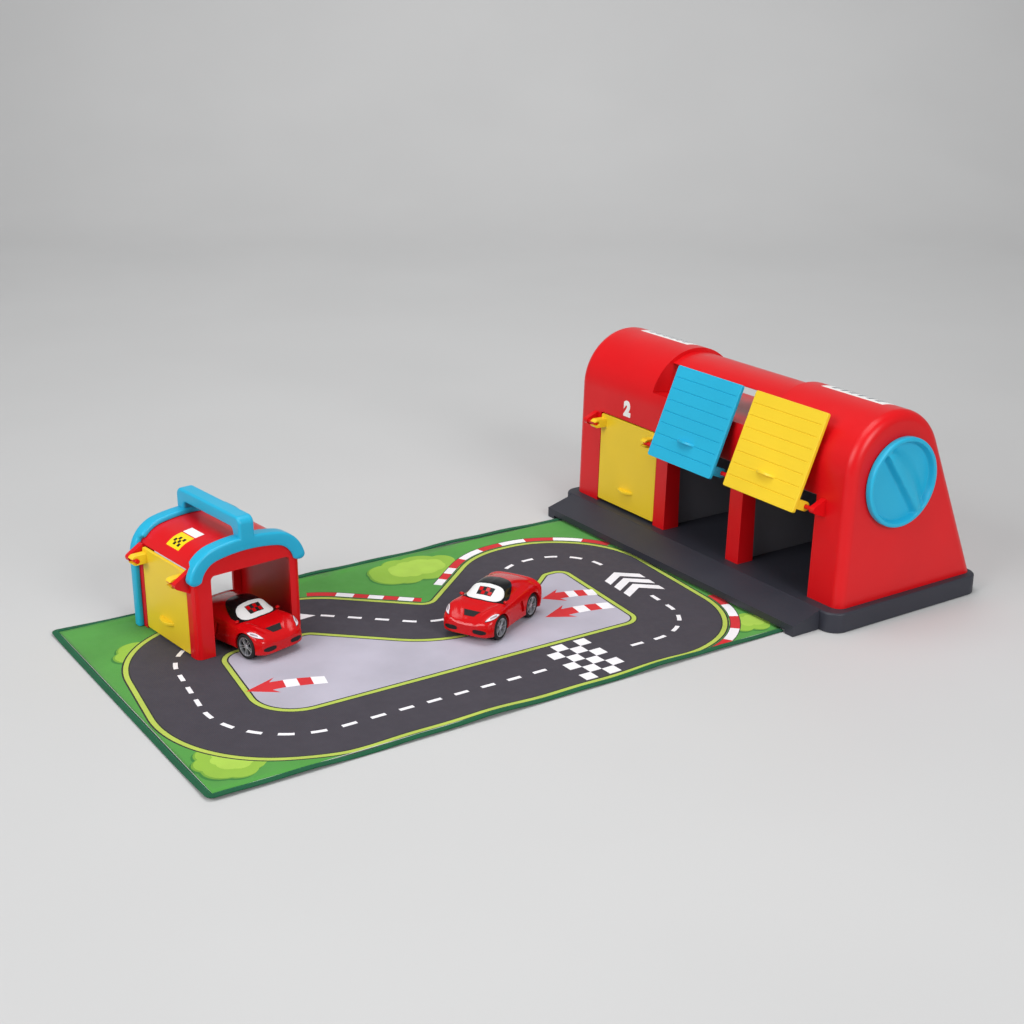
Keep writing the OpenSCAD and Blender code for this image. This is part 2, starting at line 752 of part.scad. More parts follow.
module guide_rod() {
    color(steel) at_base() translate([0, rod_y, rod_z]) x_bar(rod_r, -rod_half, rod_half);
}

// A strip of even thickness along a path in the YZ plane
function path_dir(p, i) =
    let (a = p[max(i - 1, 0)], b = p[min(i + 1, len(p) - 1)]) (b - a) / norm(b - a);
function path_side(p, off) = [for (i = [0 : len(p) - 1])
    let (d = path_dir(p, i)) p[i] + off * [-d[1], d[0]]];
module strip(path, thick) {
    left = path_side(path, thick / 2);
    right = path_side(path, -thick / 2);
    polygon(concat(left, [for (i = [len(right) - 1 : -1 : 0]) right[i]]));
}

module mat_lead() { color(green) at_base() along_x(mat_w) strip(lead_path, mat_t); }

module play_mat() {
    inner = mat_w / 2 - binding_w;
    color(green) at_base() translate([-inner, -mat_out + binding_w, 0])
        cube([2 * inner, mat_out - binding_w + lead_end_y, mat_t]);
}

// Three tapes: one along each side, and one across the free end between them
module mat_binding() {
    color(dark_green) at_base() translate([0, -mat_out, 0]) {
        for (x = [-1, 1]) translate([x * (mat_w - binding_w) / 2 - binding_w / 2, 0, 0])
            cube([binding_w, mat_out + lead_end_y, binding_t]);
        translate([binding_w - mat_w / 2, 0, 0]) cube([mat_w - 2 * binding_w, binding_w, binding_t]);
    }
}

module shell_screws() {
    head_z = base_h - base_wall - screw_head_h;
    color(steel) at_base() each_shell_screw() translate([0, 0, head_z])
        screw(screw_r - seat_gap, screw_head_r, screw_head_h, base_wall + shell_boss_h - 6);
}

module cover_screws() {
    color(steel) at_base() each_cover_screw() translate([0, 0, 0.2])
        screw(screw_r - seat_gap, cover_head_r, cover_head_h - 0.2, base_h - base_wall - 5);
}

module at_garage() {
    at_base() translate([garage_x, garage_y, garage_z]) rotate([0, 0, garage_turn]) children();
}

module garage_lug() {
    face = -garage_depth / 2 + garage_wall / 2;
    tip = garage_hinge_v - pin_r - 1.4;
    z = garage_hinge_z;
    along_x(lug_t) polygon([
        [face, z + garage_lug_up], [face, z - garage_lug_down],
        [tip + 1.5, z - pin_r - 1.6], [tip, z - pin_r],
        [tip, z + pin_r], [tip + 1.5, z + pin_r + 1.6]
    ]);
}

module portable_shell() {
    inner_len = garage_len - 2 * garage_wall;
    post_d = 8;
    color(red) at_garage() difference() {
        union() {
            difference() {
                along_x(garage_len) polygon(arch_outline(0, 0));
                along_x(inner_len) polygon(arch_outline(-garage_wall, -cut));
                // Through way for the cars
                along_x(garage_len + 2 * cut) translate([garage_open_shift - garage_open_w / 2, -cut])
                    square([garage_open_w, garage_open_h + cut]);
                // Door opening
                translate([-garage_open_len / 2, -garage_depth, -cut])
                    cube([garage_open_len, garage_door_room, garage_open_top + cut]);
            }
            // Posts beside the door
            for (s = [-1, 1])
                translate([s * (garage_len / 2 - (garage_len - garage_open_len) / 4), 0, 0])
                    along_x((garage_len - garage_open_len) / 2)
                        translate([-garage_depth / 2 + 0.5, 0]) square([post_d, garage_hinge_z + 2]);
            for (s = [-1, 1]) {
                translate([s * garage_lug_u, 0, 0]) garage_lug();
                pin_u = garage_lug_u - (lug_t + garage_pin_len) / 2;
                translate([s * pin_u, garage_hinge_v, garage_hinge_z])
                    x_bar(pin_r, -garage_pin_len / 2 - 0.5, garage_pin_len / 2 + 0.5);
            }
        }
        each_handle_screw() translate([0, 0, -cut]) cylinder(r = screw_r + 0.3, h = 30);
    }
}

// The handle's screws come up through the roof, two under each leg
module each_handle_screw() {
    for (s = [-1, 1]) translate([s * (garage_len / 2 - 8), 0, garage_h - garage_wall]) children();
}

// One arch trim: a band over the roof with a lip over the shell's end
module arch_trim(foot) {
    half = garage_len / 2;
    lug_end = garage_lug_u + lug_t / 2 + rest_gap;
    difference() {
        union() {
            translate([half - trim_w / 2, 0, 0]) along_x(trim_w) difference() {
                polygon(arch_outline(trim_t, 0));
                polygon(arch_outline(trim_seat, -cut));
            }
            translate([half + (trim_lip + trim_seat) / 2, 0, 0])
                along_x(trim_lip + trim_seat) difference() {
                    polygon(arch_outline(trim_t, 0));
                    polygon(arch_outline(trim_seat, -cut));
                }
            translate([half + trim_lip / 2 + trim_seat, 0, 0]) along_x(trim_lip) difference() {
                polygon(arch_outline(trim_seat + 0.2, 0));
                polygon(arch_outline(-trim_cover, -cut));
            }
        }
        translate([0, -garage_depth, foot - 2 * garage_h])
            cube([garage_len, 2 * garage_depth, 2 * garage_h]);
        // Room beside the door's hinge lug
        translate([0, -garage_depth, 0])
            cube([lug_end, garage_depth / 2 + garage_lug_up, garage_hinge_z + garage_lug_up + rest_gap]);
    }
}

module portable_handle() {
    leg = 13;
    end_u = garage_len / 2 + trim_lip;
    color(blue) at_garage() difference() {
        union() {
            arch_trim(trim_end_z);
            mirror([1, 0, 0]) arch_trim(0);
            for (s = [-1, 1])
                translate([s * (end_u - leg / 2), 0, 0]) along_x(leg)
                    translate([-grab_w / 2, garage_h + trim_seat]) square([grab_w, grab_h - garage_h - 1]);
            along_x(2 * end_u) grab_outline();
        }
        each_handle_screw() translate([0, 0, -cut]) cylinder(r = screw_r, h = 16);
    }
}

// The grab bar's section, with round top edges
module grab_outline() {
    r = 4;
    z0 = grab_h - grab_t;
    union() {
        translate([-grab_w / 2, z0]) square([grab_w, grab_t - r]);
        translate([-grab_w / 2 + r, z0]) square([grab_w - 2 * r, grab_t]);
        for (s = [-1, 1]) translate([s * (grab_w / 2 - r), grab_h - r]) circle(r);
    }
}

module portable_door() {
    color(yellow) at_garage() translate([0, garage_hinge_v, garage_hinge_z])
        flip_door(garage_door_w, garage_door_h, garage_door_t, garage_door_top, garage_hinge_out,
            plank_grooves, garage_door_h - garage_door_top - 19, 5, 14);
}

module handle_screws() {
    color(steel) at_garage() each_handle_screw() translate([0, 0, -screw_head_h - trim_seat])
        screw(screw_r - seat_gap, screw_head_r, screw_head_h, 13);
}

module at_car(x, y, turn) { at_base() translate([x, y, car_z]) rotate([0, 0, turn]) children(); }

// Extrudes an outline in the XZ plane across the car
module across_car(w) { rotate([90, 0, 0]) linear_extrude(w, center = true) children(); }

// The painted body as a solid form: its side, front and plan views cut together
module body_form() {
    intersection() {
        across_car(car_span) polygon(car_side);
        along_x(car_span) polygon(car_front);
        linear_extrude(car_span) polygon(car_plan);
    }
}

module lamp_prisms() {
    leaf = [[31, 25], [36.5, 24], [41.5, 20.5], [43.8, 16.5], [41, 17], [36, 20]];
    for (s = [0, 1]) mirror([0, s, 0]) translate([0, 0, 15]) linear_extrude(20) polygon(leaf);
}

module grille_prisms() {
    depth = 8;
    translate([44.5, 0, 0]) along_x(depth) polygon([[-8, 18.6], [-4.5, 14.2], [4.5, 14.2], [8, 18.6]]);
    for (s = [-1, 1]) translate([44.5, s * 13.5, 0]) along_x(depth)
        translate([-4.5, 6.5]) square([9, 4.5]);
}

module wheel_wells() {
    for (x = [-1, 1], s = [0, 1]) mirror([0, s, 0])
        translate([x * wheelbase / 2, well_in - 0.5, tyre_r]) rotate([-90, 0, 0])
            cylinder(r = well_r, h = 20);
}

module car_body() {
    difference() {
        body_form();
        lamp_prisms();
        grille_prisms();
        // Room for the chassis
        translate([pan_back_x - pan_gap, pan_gap - well_in, -cut])
            cube([pan_len + 2 * pan_gap, 2 * (well_in - pan_gap), pan_z + pan_boss_h + cut]);
        wheel_wells();
        each_car_screw() translate([0, 0, pan_boss_h]) cylinder(r = screw_r, h = 11);
    }
}

module each_car_screw() { for (x = [-12, 12]) translate([x, 0, 0]) children(); }

// The cabin's side outline, pulled in from the glass by a distance
function cabin_outline(inset) = concat(
    [[cabin_back_x, car_belt_z]],
    [for (p = cabin_side) [max(p[0] - 1.2 * inset, cabin_back_x), p[1]]]
);

module cabin_form() {
    half = [[20.5, car_belt_z], [19.2, 31], [16.5, 34.2], [11, 37]];
    along_x(car_span) polygon(concat(half,
        [for (i = [len(half) - 1 : -1 : 0]) [-half[i][0], half[i][1]]]));
}

// The roof line stays with the canopy, so the screen ends under it
module canopy() {
    intersection() {
        cabin_form();
        across_car(car_span) polygon(cabin_outline(screen_t));
    }
}

module windscreen() {
    intersection() {
        cabin_form();
        across_car(car_span) difference() {
            polygon(cabin_outline(0));
            polygon(cabin_outline(screen_t));
        }
    }
}

module car_chassis() {
    pan_w = 2 * (well_in - 2 * pan_gap);
    difference() {
        union() {
            translate([pan_back_x, -pan_w / 2, pan_z]) cube([pan_len, pan_w, 3]);
            for (x = [-1, 1]) translate([x * wheelbase / 2 - 4.5, -pan_w / 2, pan_z])
                cube([9, pan_w, tyre_r - pan_z + axle_r + 2]);
            each_car_screw() translate([0, 0, pan_z]) cylinder(r = 4, h = pan_boss_h - seat_gap);
        }
        for (x = [-1, 1]) translate([x * wheelbase / 2, 0, tyre_r]) rotate([90, 0, 0])
            cylinder(r = axle_r + run_gap, h = car_span, center = true);
        each_car_screw() translate([0, 0, pan_z - cut]) {
            cylinder(r = screw_r + 0.3, h = 20);
            cylinder(r = cover_head_r + 0.3, h = cut + cover_head_h);
        }
    }
}

module car_screws() {
    each_car_screw() translate([0, 0, pan_z + 0.2])
        screw(screw_r - seat_gap, cover_head_r, cover_head_h - 0.2, pan_boss_h + 3);
}

module axle_rod() {
    translate([0, 0, tyre_r]) rotate([90, 0, 0])
        cylinder(r = axle_r, h = car_track - 4, center = true);
}

// A ring or disc on the axle between two distances from the car's middle, on both sides
module on_axle(r, y0, y1) {
    for (s = [0, 1]) mirror([0, s, 0]) translate([0, y0, tyre_r]) rotate([-90, 0, 0])
        cylinder(r = r, h = y1 - y0);
}

module tyres() {
    outer = car_track / 2;
    edge = 1;
    difference() {
        union() {
            on_axle(tyre_r, outer - tyre_w + edge, outer - edge);
            on_axle(tyre_r - edge, outer - tyre_w, outer);
        }
        on_axle(rim_r, outer - tyre_w - cut, outer + cut);
    }
}

// Five spokes, a hub and a ring, with the axle's hole
module rims() {
    outer = car_track / 2 - 0.6;
    back = car_track / 2 - tyre_w + 1;
    ring = 1.1;
    difference() {
        union() {
            difference() {
                on_axle(rim_r - seat_gap, back, outer);
                on_axle(rim_r - ring, outer - 3, outer + cut);
            }
            on_axle(2.6, back, outer - 0.4);
            for (s = [0, 1], k = [0 : 4]) mirror([0, s, 0])
                translate([0, outer - 2.2, tyre_r]) rotate([0, 72 * k, 0])
                    translate([-0.8, 0, 1]) cube([1.6, 1.6, rim_r - 1.6]);
        }
        on_axle(axle_r + seat_gap, 0, car_track / 2 - 2 + seat_gap);
    }
}

module at_car_one() { at_car(car_one_x, car_one_y, car_one_turn) children(); }
module at_car_two() { at_car(car_two_x, car_two_y, car_two_turn) children(); }
module at_front() { translate([wheelbase / 2, 0, 0]) children(); }
module at_rear() { translate([-wheelbase / 2, 0, 0]) children(); }

module headlamps() {
    color(white) difference() {
        intersection() {
            body_form();
            lamp_prisms();
        }
        wheel_wells();
    }
}

module grilles() {
    color(black) intersection() {
        body_form();
        grille_prisms();
    }
}

base_deck();
base_cover();
ramp();
station_shell();
bay_liner();
left_door();
middle_door();
right_door();
winder_knob();
winder_drum();
knob_pin();
drum_bushes();
mat_clamp();
guide_rod();
mat_lead();
play_mat();
mat_binding();
shell_screws();
cover_screws();
portable_shell();
portable_handle();
portable_door();
handle_screws();
color(red) at_car_one() car_body();  // car_one_body
color(black) at_car_one() canopy();  // car_one_canopy
color(white) at_car_one() windscreen();  // car_one_windscreen
color(black) at_car_one() car_chassis();  // car_one_chassis
at_car_one() headlamps();  // car_one_headlamps
at_car_one() grilles();  // car_one_grilles
color(steel) at_car_one() car_screws();  // car_one_screws
color(steel) at_car_one() at_front() axle_rod();  // car_one_front_axle
color(black) at_car_one() at_front() tyres();  // car_one_front_tyres
color(steel) at_car_one() at_front() rims();  // car_one_front_rims
color(steel) at_car_one() at_rear() axle_rod();  // car_one_rear_axle
color(black) at_car_one() at_rear() tyres();  // car_one_rear_tyres
color(steel) at_car_one() at_rear() rims();  // car_one_rear_rims
color(red) at_car_two() car_body();  // car_two_body
color(black) at_car_two() canopy();  // car_two_canopy
color(white) at_car_two() windscreen();  // car_two_windscreen
color(black) at_car_two() car_chassis();  // car_two_chassis
at_car_two() headlamps();  // car_two_headlamps
at_car_two() grilles();  // car_two_grilles
color(steel) at_car_two() car_screws();  // car_two_screws
color(steel) at_car_two() at_front() axle_rod();  // car_two_front_axle
color(black) at_car_two() at_front() tyres();  // car_two_front_tyres
color(steel) at_car_two() at_front() rims();  // car_two_front_rims
color(steel) at_car_two() at_rear() axle_rod();  // car_two_rear_axle
color(black) at_car_two() at_rear() tyres();  // car_two_rear_tyres
color(steel) at_car_two() at_rear() rims();  // car_two_rear_rims
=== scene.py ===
"""Looks of the roll-out toy race track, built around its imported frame. Sizes are in millimetres."""

import math

import bmesh
import bpy
import numpy as np
from mathutils import Matrix, Vector, geometry


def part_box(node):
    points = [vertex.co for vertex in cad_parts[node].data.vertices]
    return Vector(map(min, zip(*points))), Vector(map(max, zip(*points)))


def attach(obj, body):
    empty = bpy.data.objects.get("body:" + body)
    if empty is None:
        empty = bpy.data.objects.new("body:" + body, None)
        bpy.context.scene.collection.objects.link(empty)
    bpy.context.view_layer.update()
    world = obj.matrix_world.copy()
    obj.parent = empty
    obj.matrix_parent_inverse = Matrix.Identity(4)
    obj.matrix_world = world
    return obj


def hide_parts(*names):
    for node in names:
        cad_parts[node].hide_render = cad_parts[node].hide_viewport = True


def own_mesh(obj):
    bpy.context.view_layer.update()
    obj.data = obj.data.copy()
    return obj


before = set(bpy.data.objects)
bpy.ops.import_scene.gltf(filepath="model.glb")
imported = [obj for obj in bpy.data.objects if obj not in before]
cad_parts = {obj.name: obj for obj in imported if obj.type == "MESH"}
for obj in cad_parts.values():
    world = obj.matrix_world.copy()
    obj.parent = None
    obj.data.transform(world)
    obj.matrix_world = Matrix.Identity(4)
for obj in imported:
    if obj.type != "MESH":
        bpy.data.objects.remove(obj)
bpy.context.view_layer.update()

MM = 0.001
scene = bpy.context.scene
scene.view_settings.view_transform = "Standard"

# Places and sizes taken from the frame
base_low, base_high = (np.array(c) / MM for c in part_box("base_deck"))
BASE_FRONT = base_low[1]
BASE_LEN = base_high[0] - base_low[0]
BASE_DEPTH = base_high[1] - base_low[1]
BASE_H = base_high[2]
mat_low, mat_high = (np.array(c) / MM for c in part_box("play_mat"))
binding_low, binding_high = (np.array(c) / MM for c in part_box("mat_binding"))

# Station shell
SHELL_LEN = 406
SHELL_FRONT = 12
SHELL_BACK = 188
SHELL_WALL = 3
END_FILLET = 10
ROOF_R = 57
ROOF_Y = 73.5
ROOF_Z = 138
HANDLE_LEN = 164
HANDLE_INSET = 4
HANDLE_T = 15
HANDLE_UNDER_R = 60
BUSH_SEAT_R = 12.5
BUSH_BORE_R = 9.6
JAMB_D = 14
POCKET_FRONT_Z = 156
POCKET_BACK_Z = 140

# Station doors
DOOR_W = 95.4
DOOR_H = 94
DOOR_T = 3.5
DOOR_PITCH = 114.7
DOOR_GAP = 0.6
DOOR_TOP = 8.9
DOOR_LEAN = 23
HINGE_Z = 107.5
HINGE_OUT = 11
PIN_R = 2
LUG_T = 6
LUG_RISE = 9
GARAGE_LUG_UP = 11
GARAGE_LUG_DOWN = 10
DOOR_CORNER_R = 2.2
PLANK_GROOVES = 7
GROOVE_D = 0.55
GROOVE_HALF = 0.75
GROOVE_INSET = 3.2
HOOK_HALF = 4
HOOK_MOUTH = 1.7
LIP_W = 25
LIP_T = 2.4
LIP_REACH = 5.7
OUTER_LIP_DROP = 65.5
INNER_LIP_DROP = 15

# Winder
WINDER_Y = 76.5
WINDER_Z = 130
KNOB_R = 42
KNOB_RIM_H = 6.6
KNOB_RIM_W = 4
KNOB_SCOOP_FLOOR = 0.7
GRIP_RISE = 1.05
GRIP_ANGLE = 36
GRIP_CREST = 1.2
GRIP_BACK = 8
GRIP_BULGE = 14
GRIP_FACE = 4.2
GRIP_FACE_SPREAD = 0.035
SPIGOT_R = 5
SPIGOT_LEN = 24

# Base and ramp
BASE_CORNER_R = 15
FLOOR_GAP = 0.02
DECK_SLOT = (158, 171)
RAMP_LEN = 385
RAMP_REACH = 31.5
RAMP_LIP_H = 10
RAMP_T = 2.5
RAMP_SLOT_H = 3.4
RAMP_CHEEK_X = 182

# Portable garage
GARAGE_X = -106
GARAGE_Y = -449
GARAGE_TURN = 6.2
GARAGE_LEN = 106
GARAGE_DEPTH = 106
GARAGE_H = 98
GARAGE_SHOULDER_R = 28
GARAGE_CROWN = 12
GARAGE_WALL = 3
GARAGE_FILLET = 6
GARAGE_DOOR_W = 79
GARAGE_DOOR_H = 77
GARAGE_DOOR_T = 3.2
GARAGE_DOOR_LIFT = 1.5
GARAGE_HINGE_Z = 70
GARAGE_HINGE_OUT = 10
GARAGE_OPEN_H = 74
GARAGE_OPEN_W = 78
GARAGE_OPEN_SHIFT = 3
GARAGE_OPEN_R = 4
GARAGE_LIP_RISE = 19
GARAGE_LIP_DROP = 14
TRIM_T = 5
TRIM_W = 11
TRIM_LIP = 3
TRIM_COVER = 7
TRIM_SEAT = 0.15
TRIM_END_Z = 68
TRIM_TIP = 4.5
GRAB_H = 121
GRAB_W = 15
GRAB_T = 12
GRAB_LEG = 13
GRAB_OUTER_R = 7
GRAB_INNER_R = 4

# Cars: place across, place along and heading of each
CARS = {"car_one": (-64, -442, 15), "car_two": (20, -240, -62)}
WHEELBASE = 57
TYRE_R = 11.5
TYRE_W = 9
RIM_R = 8.6
CAR_TRACK = 53
REST_Z = 1.1
WELL_IN = 15.9
WELL_OUT = 32
SIDE_INTAKE_IN = 24.6
SIDE_INTAKE = ((-13, 12), (-8.5, 13), (-6, 22.5), (-10.5, 23.5))
TAIL_SKIRT = ((-15, 12.2), (-12.5, 8.6), (12.5, 8.6), (15, 12.2))
TAIL_LAMP = ((0.01, -0.6), (2.6, -0.6), (2.6, 0.2), (2.1, 0.45), (0.01, 0.5))
TAIL_LAMP_PLACE = (-47.9, 12.5, 20.5)
MIRROR_PLACE = (14.5, 22.6, 29.6)
INTAKE_Z = 11.8
BADGE = (6.4, 14.6, -0.55, 0.55)
BADGE_START = (7, -0.5)
BADGE_CELL = (3.5, 0.25)

# Labels and numerals
ROOF_LABELS = (("roof_label_left", -176, -98), ("roof_label_right", 99, 177))
ROOF_LABEL_ARC = (58, 88)
ROOF_BAR_ARC = (63, 83)
ROOF_BARS = 6
GARAGE_LABEL = (-9, 13)
GARAGE_LABEL_ARC = (133, 101)
GARAGE_BAND_ARC = (100.5, 97)
LABEL_LIFT = 0.12
MARK_LIFT = 0.2
LABEL_SINK = 0.3
NUMERALS = (("2", -1), ("1", 0), ("3", 1))
NUMERAL_H = 14
NUMERAL_Z = 123.5
NUMERAL_SHIFT = -4.5
NUMERAL_SWELL = 1.55
NUMERAL_HALF_T = 0.25

# Camera, and the place, target, size, power and spread of each lamp
CAMERA_FOCAL_PX = 1570.73
CAMERA_IMAGE_PX = 1024
CAMERA_AZIMUTH = 56.76
CAMERA_ELEVATION = 19.5
CAMERA_PLACE = (1129.57, -945.10, 573.37)
LAMPS = {
    "overhead": ((0, -0.05, 1.5), (0, -0.05, 0), (1.1, 0.9), 7.6, 150),
    "front": ((0.2, -2.5, 1.6), (0.05, 0.1, 0.05), (1.8, 1.2), 46, 180),
    "right": ((2.5, 0.1, 1.35), (0.1, 0.15, 0.08), (1.1, 1.2), 35, 180),
    "backdrop": ((-0.75, 0.5, 2.4), (-2.2, 1.45, 0.5), (2.4, 0.6), 17, 120),
}


def srgb(red, green, blue):
    """A colour as a screen shows it, 0 to 255, as linear values."""
    def linear(value):
        value /= 255
        return value / 12.92 if value <= 0.04045 else ((value + 0.055) / 1.055) ** 2.4
    return (linear(red), linear(green), linear(blue), 1)


RED = srgb(214, 12, 20)
YELLOW = srgb(238, 202, 44)
BLUE = srgb(36, 172, 210)
SLATE = srgb(50, 51, 60)
LINER = srgb(122, 122, 130)
WHITE = srgb(224, 224, 223)
BLACK = srgb(20, 20, 22)


# Meshes

def linked(name, data):
    """A new object in the scene."""
    obj = bpy.data.objects.new(name, data)
    scene.collection.objects.link(obj)
    return obj


def mesh_object(name, verts, faces):
    """A mesh object from points in millimetres, with its faces turned outwards."""
    mesh = bpy.data.meshes.new(name)
    mesh.from_pydata([tuple(float(c) * MM for c in v) for v in verts], [], faces)
    bm = bmesh.new()
    bm.from_mesh(mesh)
    bmesh.ops.remove_doubles(bm, verts=bm.verts, dist=1e-6)
    bmesh.ops.recalc_face_normals(bm, faces=bm.faces)
    bm.to_mesh(mesh)
    bm.free()
    return linked(name, mesh)


def loft(name, rings, caps=True, closed=False):
    """A skin over rings of equal length, with flat ends or joined into a loop."""
    count = len(rings[0])
    verts = [point for ring in rings for point in ring]
    faces = []
    spans = len(rings) if closed else len(rings) - 1
    for i in range(spans):
        a = i * count
        b = (i + 1) % len(rings) * count
        for j in range(count):
            k = (j + 1) % count
            faces.append((a + j, a + k, b + k, b + j))
    if caps and not closed:
        faces.append(tuple(range(count)))
        faces.append(tuple((len(rings) - 1) * count + j for j in range(count)))
    return mesh_object(name, verts, faces)


def prism(name, outline, axis, low, high):
    """A solid from a flat outline, drawn out along x (y, z), y (x, z) or z (x, y)."""
    at = "xyz".index(axis)
    return loft(name, [[(*p[:at], depth, *p[at:]) for p in outline] for depth in (low, high)])


def block(name, low, high):
    outline = [(low[0], low[1]), (high[0], low[1]), (high[0], high[1]), (low[0], high[1])]
    return prism(name, outline, "z", low[2], high[2])


def arc(centre, radius, start, end, steps):
    """Points along an arc, with angles in degrees."""
    angles = np.radians(np.linspace(start, end, steps + 1))
    return [(centre[0] + radius * math.cos(a), centre[1] + radius * math.sin(a)) for a in angles]


def rod(name, radius, centre, low, high, steps=28):
    """A round bar along x, about a centre in y and z."""
    return prism(name, arc(centre, radius, 0, 360 - 360 / steps, steps - 1), "x", low, high)


def round_rect(x0, y0, x1, y1, r, steps=5):
    return (arc((x1 - r, y1 - r), r, 0, 90, steps) + arc((x0 + r, y1 - r), r, 90, 180, steps)
            + arc((x0 + r, y0 + r), r, 180, 270, steps) + arc((x1 - r, y0 + r), r, 270, 360, steps))


def lathe(name, profile, steps=72):
    """A turned solid from a closed outline of (radius, height) pairs about the z axis."""
    rings = []
    for i in range(steps):
        a = 2 * math.pi * i / steps
        rings.append([(r * math.cos(a), r * math.sin(a), h) for r, h in profile])
    return loft(name, rings, closed=True)


def move(obj, matrix):
    """Moves a mesh by a matrix in millimetres."""
    scaled = matrix.copy()
    scaled.translation = matrix.translation * MM
    obj.data.transform(scaled)
    if matrix.determinant() < 0:
        obj.data.flip_normals()
    return obj


def turn(angle, axis):
    return Matrix.Rotation(math.radians(angle), 4, axis)


def shift(x, y, z):
    return Matrix.Translation((x, y, z))


def apply_modifiers(obj):
    graph = bpy.context.evaluated_depsgraph_get()
    mesh = bpy.data.meshes.new_from_object(obj.evaluated_get(graph))
    old = obj.data
    obj.modifiers.clear()
    obj.data = mesh
    mesh.name = obj.name
    bpy.data.meshes.remove(old)
    return obj


def gather(name, objects):
    """Joins meshes into one object."""
    bm = bmesh.new()
    for obj in objects:
        bm.from_mesh(obj.data)
        bpy.data.objects.remove(obj)
    mesh = bpy.data.meshes.new(name)
    bm.to_mesh(mesh)
    bm.free()
    return linked(name, mesh)


def combine(obj, others, operation):
    """Adds to a solid or cuts from it. The others may not overlap one another."""
    tool = gather("tool", others)
    modifier = obj.modifiers.new("combine", "BOOLEAN")
    modifier.operation = operation
    modifier.solver = "EXACT"
    modifier.object = tool
    apply_modifiers(obj)
    bpy.data.objects.remove(tool)
    return obj


def cut(obj, *others):
    return combine(obj, others, "DIFFERENCE")


def add(obj, *others):
    return combine(obj, others, "UNION")


def soften(obj, width=0.6, segments=2, angle=32):
    """Rounds the sharp edges and shades the rest smooth."""
    if width:
        bevel = obj.modifiers.new("bevel", "BEVEL")
        bevel.width = width * MM
        bevel.segments = segments
        bevel.limit_method = "ANGLE"
        bevel.angle_limit = math.radians(angle)
        bevel.miter_outer = "MITER_ARC"
        apply_modifiers(obj)
    mesh = obj.data
    mesh.shade_smooth()
    bm = bmesh.new()
    bm.from_mesh(mesh)
    for edge in bm.edges:
        edge.smooth = len(edge.link_faces) == 2 and edge.calc_face_angle(0) < math.radians(48)
    bm.to_mesh(mesh)
    bm.free()
    weighted = obj.modifiers.new("normals", "WEIGHTED_NORMAL")
    weighted.keep_sharp = True
    apply_modifiers(obj)
    return obj


def finish_piece(obj, material, body, slot, *nodes):
    """Gives a piece its material and body, and hides the nodes of the frame that it stands for. The slot is
    not used.
    """
    if material is not None:
        obj.data.materials.clear()
        obj.data.materials.append(material)
    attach(obj, body)
    if nodes:
        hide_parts(*nodes)
    return obj


# Materials

def node_tree(name):
    material = bpy.data.materials.new(name)
    material.use_nodes = True
    nodes = material.node_tree.nodes
    return material, nodes, material.node_tree.links, nodes["Principled BSDF"]


def noise(nodes, links, scale, detail=3, stretch=None):
    coords = nodes.new("ShaderNodeTexCoord")
    texture = nodes.new("ShaderNodeTexNoise")
    texture.inputs["Scale"].default_value = scale
    texture.inputs["Detail"].default_value = detail
    if stretch:
        mapping = nodes.new("ShaderNodeMapping")
        mapping.inputs["Scale"].default_value = stretch
        links.new(coords.outputs["Object"], mapping.inputs["Vector"])
        links.new(mapping.outputs["Vector"], texture.inputs["Vector"])
    else:
        links.new(coords.outputs["Object"], texture.inputs["Vector"])
    return texture.outputs["Fac"]


def ramp(nodes, links, source, low, high, start=0.2, end=0.8):
    """Maps a texture's value to a colour or grey between two ends."""
    blend = nodes.new("ShaderNodeValToRGB")
    blend.color_ramp.interpolation = "EASE"
    blend.color_ramp.elements[0].position = start
    blend.color_ramp.elements[1].position = end
    blend.color_ramp.elements[0].color = low
    blend.color_ramp.elements[1].color = high
    links.new(source, blend.inputs["Fac"])
    return blend.outputs["Color"]


def grey(value):
    return (value, value, value, 1)


def shade(colour, factor):
    return tuple(min(1, c * factor) for c in colour[:3]) + (1,)


def bump(nodes, links, source, target, distance, strength=0.5):
    node = nodes.new("ShaderNodeBump")
    node.inputs["Strength"].default_value = strength
    node.inputs["Distance"].default_value = distance
    links.new(source, node.inputs["Height"])
    links.new(node.outputs["Normal"], target.inputs["Normal"])


def plastic(name, colour, roughness, wave=0.00001, spread=0.04):
    """Moulded plastic: faint flow marks in its colour, uneven gloss and slight waves in its face."""
    material, nodes, links, shader = node_tree(name)
    flow = noise(nodes, links, 14, 4)
    links.new(ramp(nodes, links, flow, shade(colour, 1 - spread), shade(colour, 1 + spread)),
              shader.inputs["Base Color"])
    smear = noise(nodes, links, 22, 2)
    links.new(ramp(nodes, links, smear, grey(roughness * 0.9), grey(roughness * 1.2)),
              shader.inputs["Roughness"])
    bump(nodes, links, noise(nodes, links, 40, 0), shader, wave, 0.3)
    shader.inputs["Specular IOR Level"].default_value = 0.34
    return material


def metal(name, colour, roughness):
    """Bright metal with fine brush marks."""
    material, nodes, links, shader = node_tree(name)
    brushed = noise(nodes, links, 300, 3, (1, 12, 1))
    links.new(ramp(nodes, links, brushed, shade(colour, 0.9), shade(colour, 1.08)),
              shader.inputs["Base Color"])
    links.new(ramp(nodes, links, brushed, grey(roughness * 0.8), grey(roughness * 1.3)),
              shader.inputs["Roughness"])
    shader.inputs["Metallic"].default_value = 1
    return material


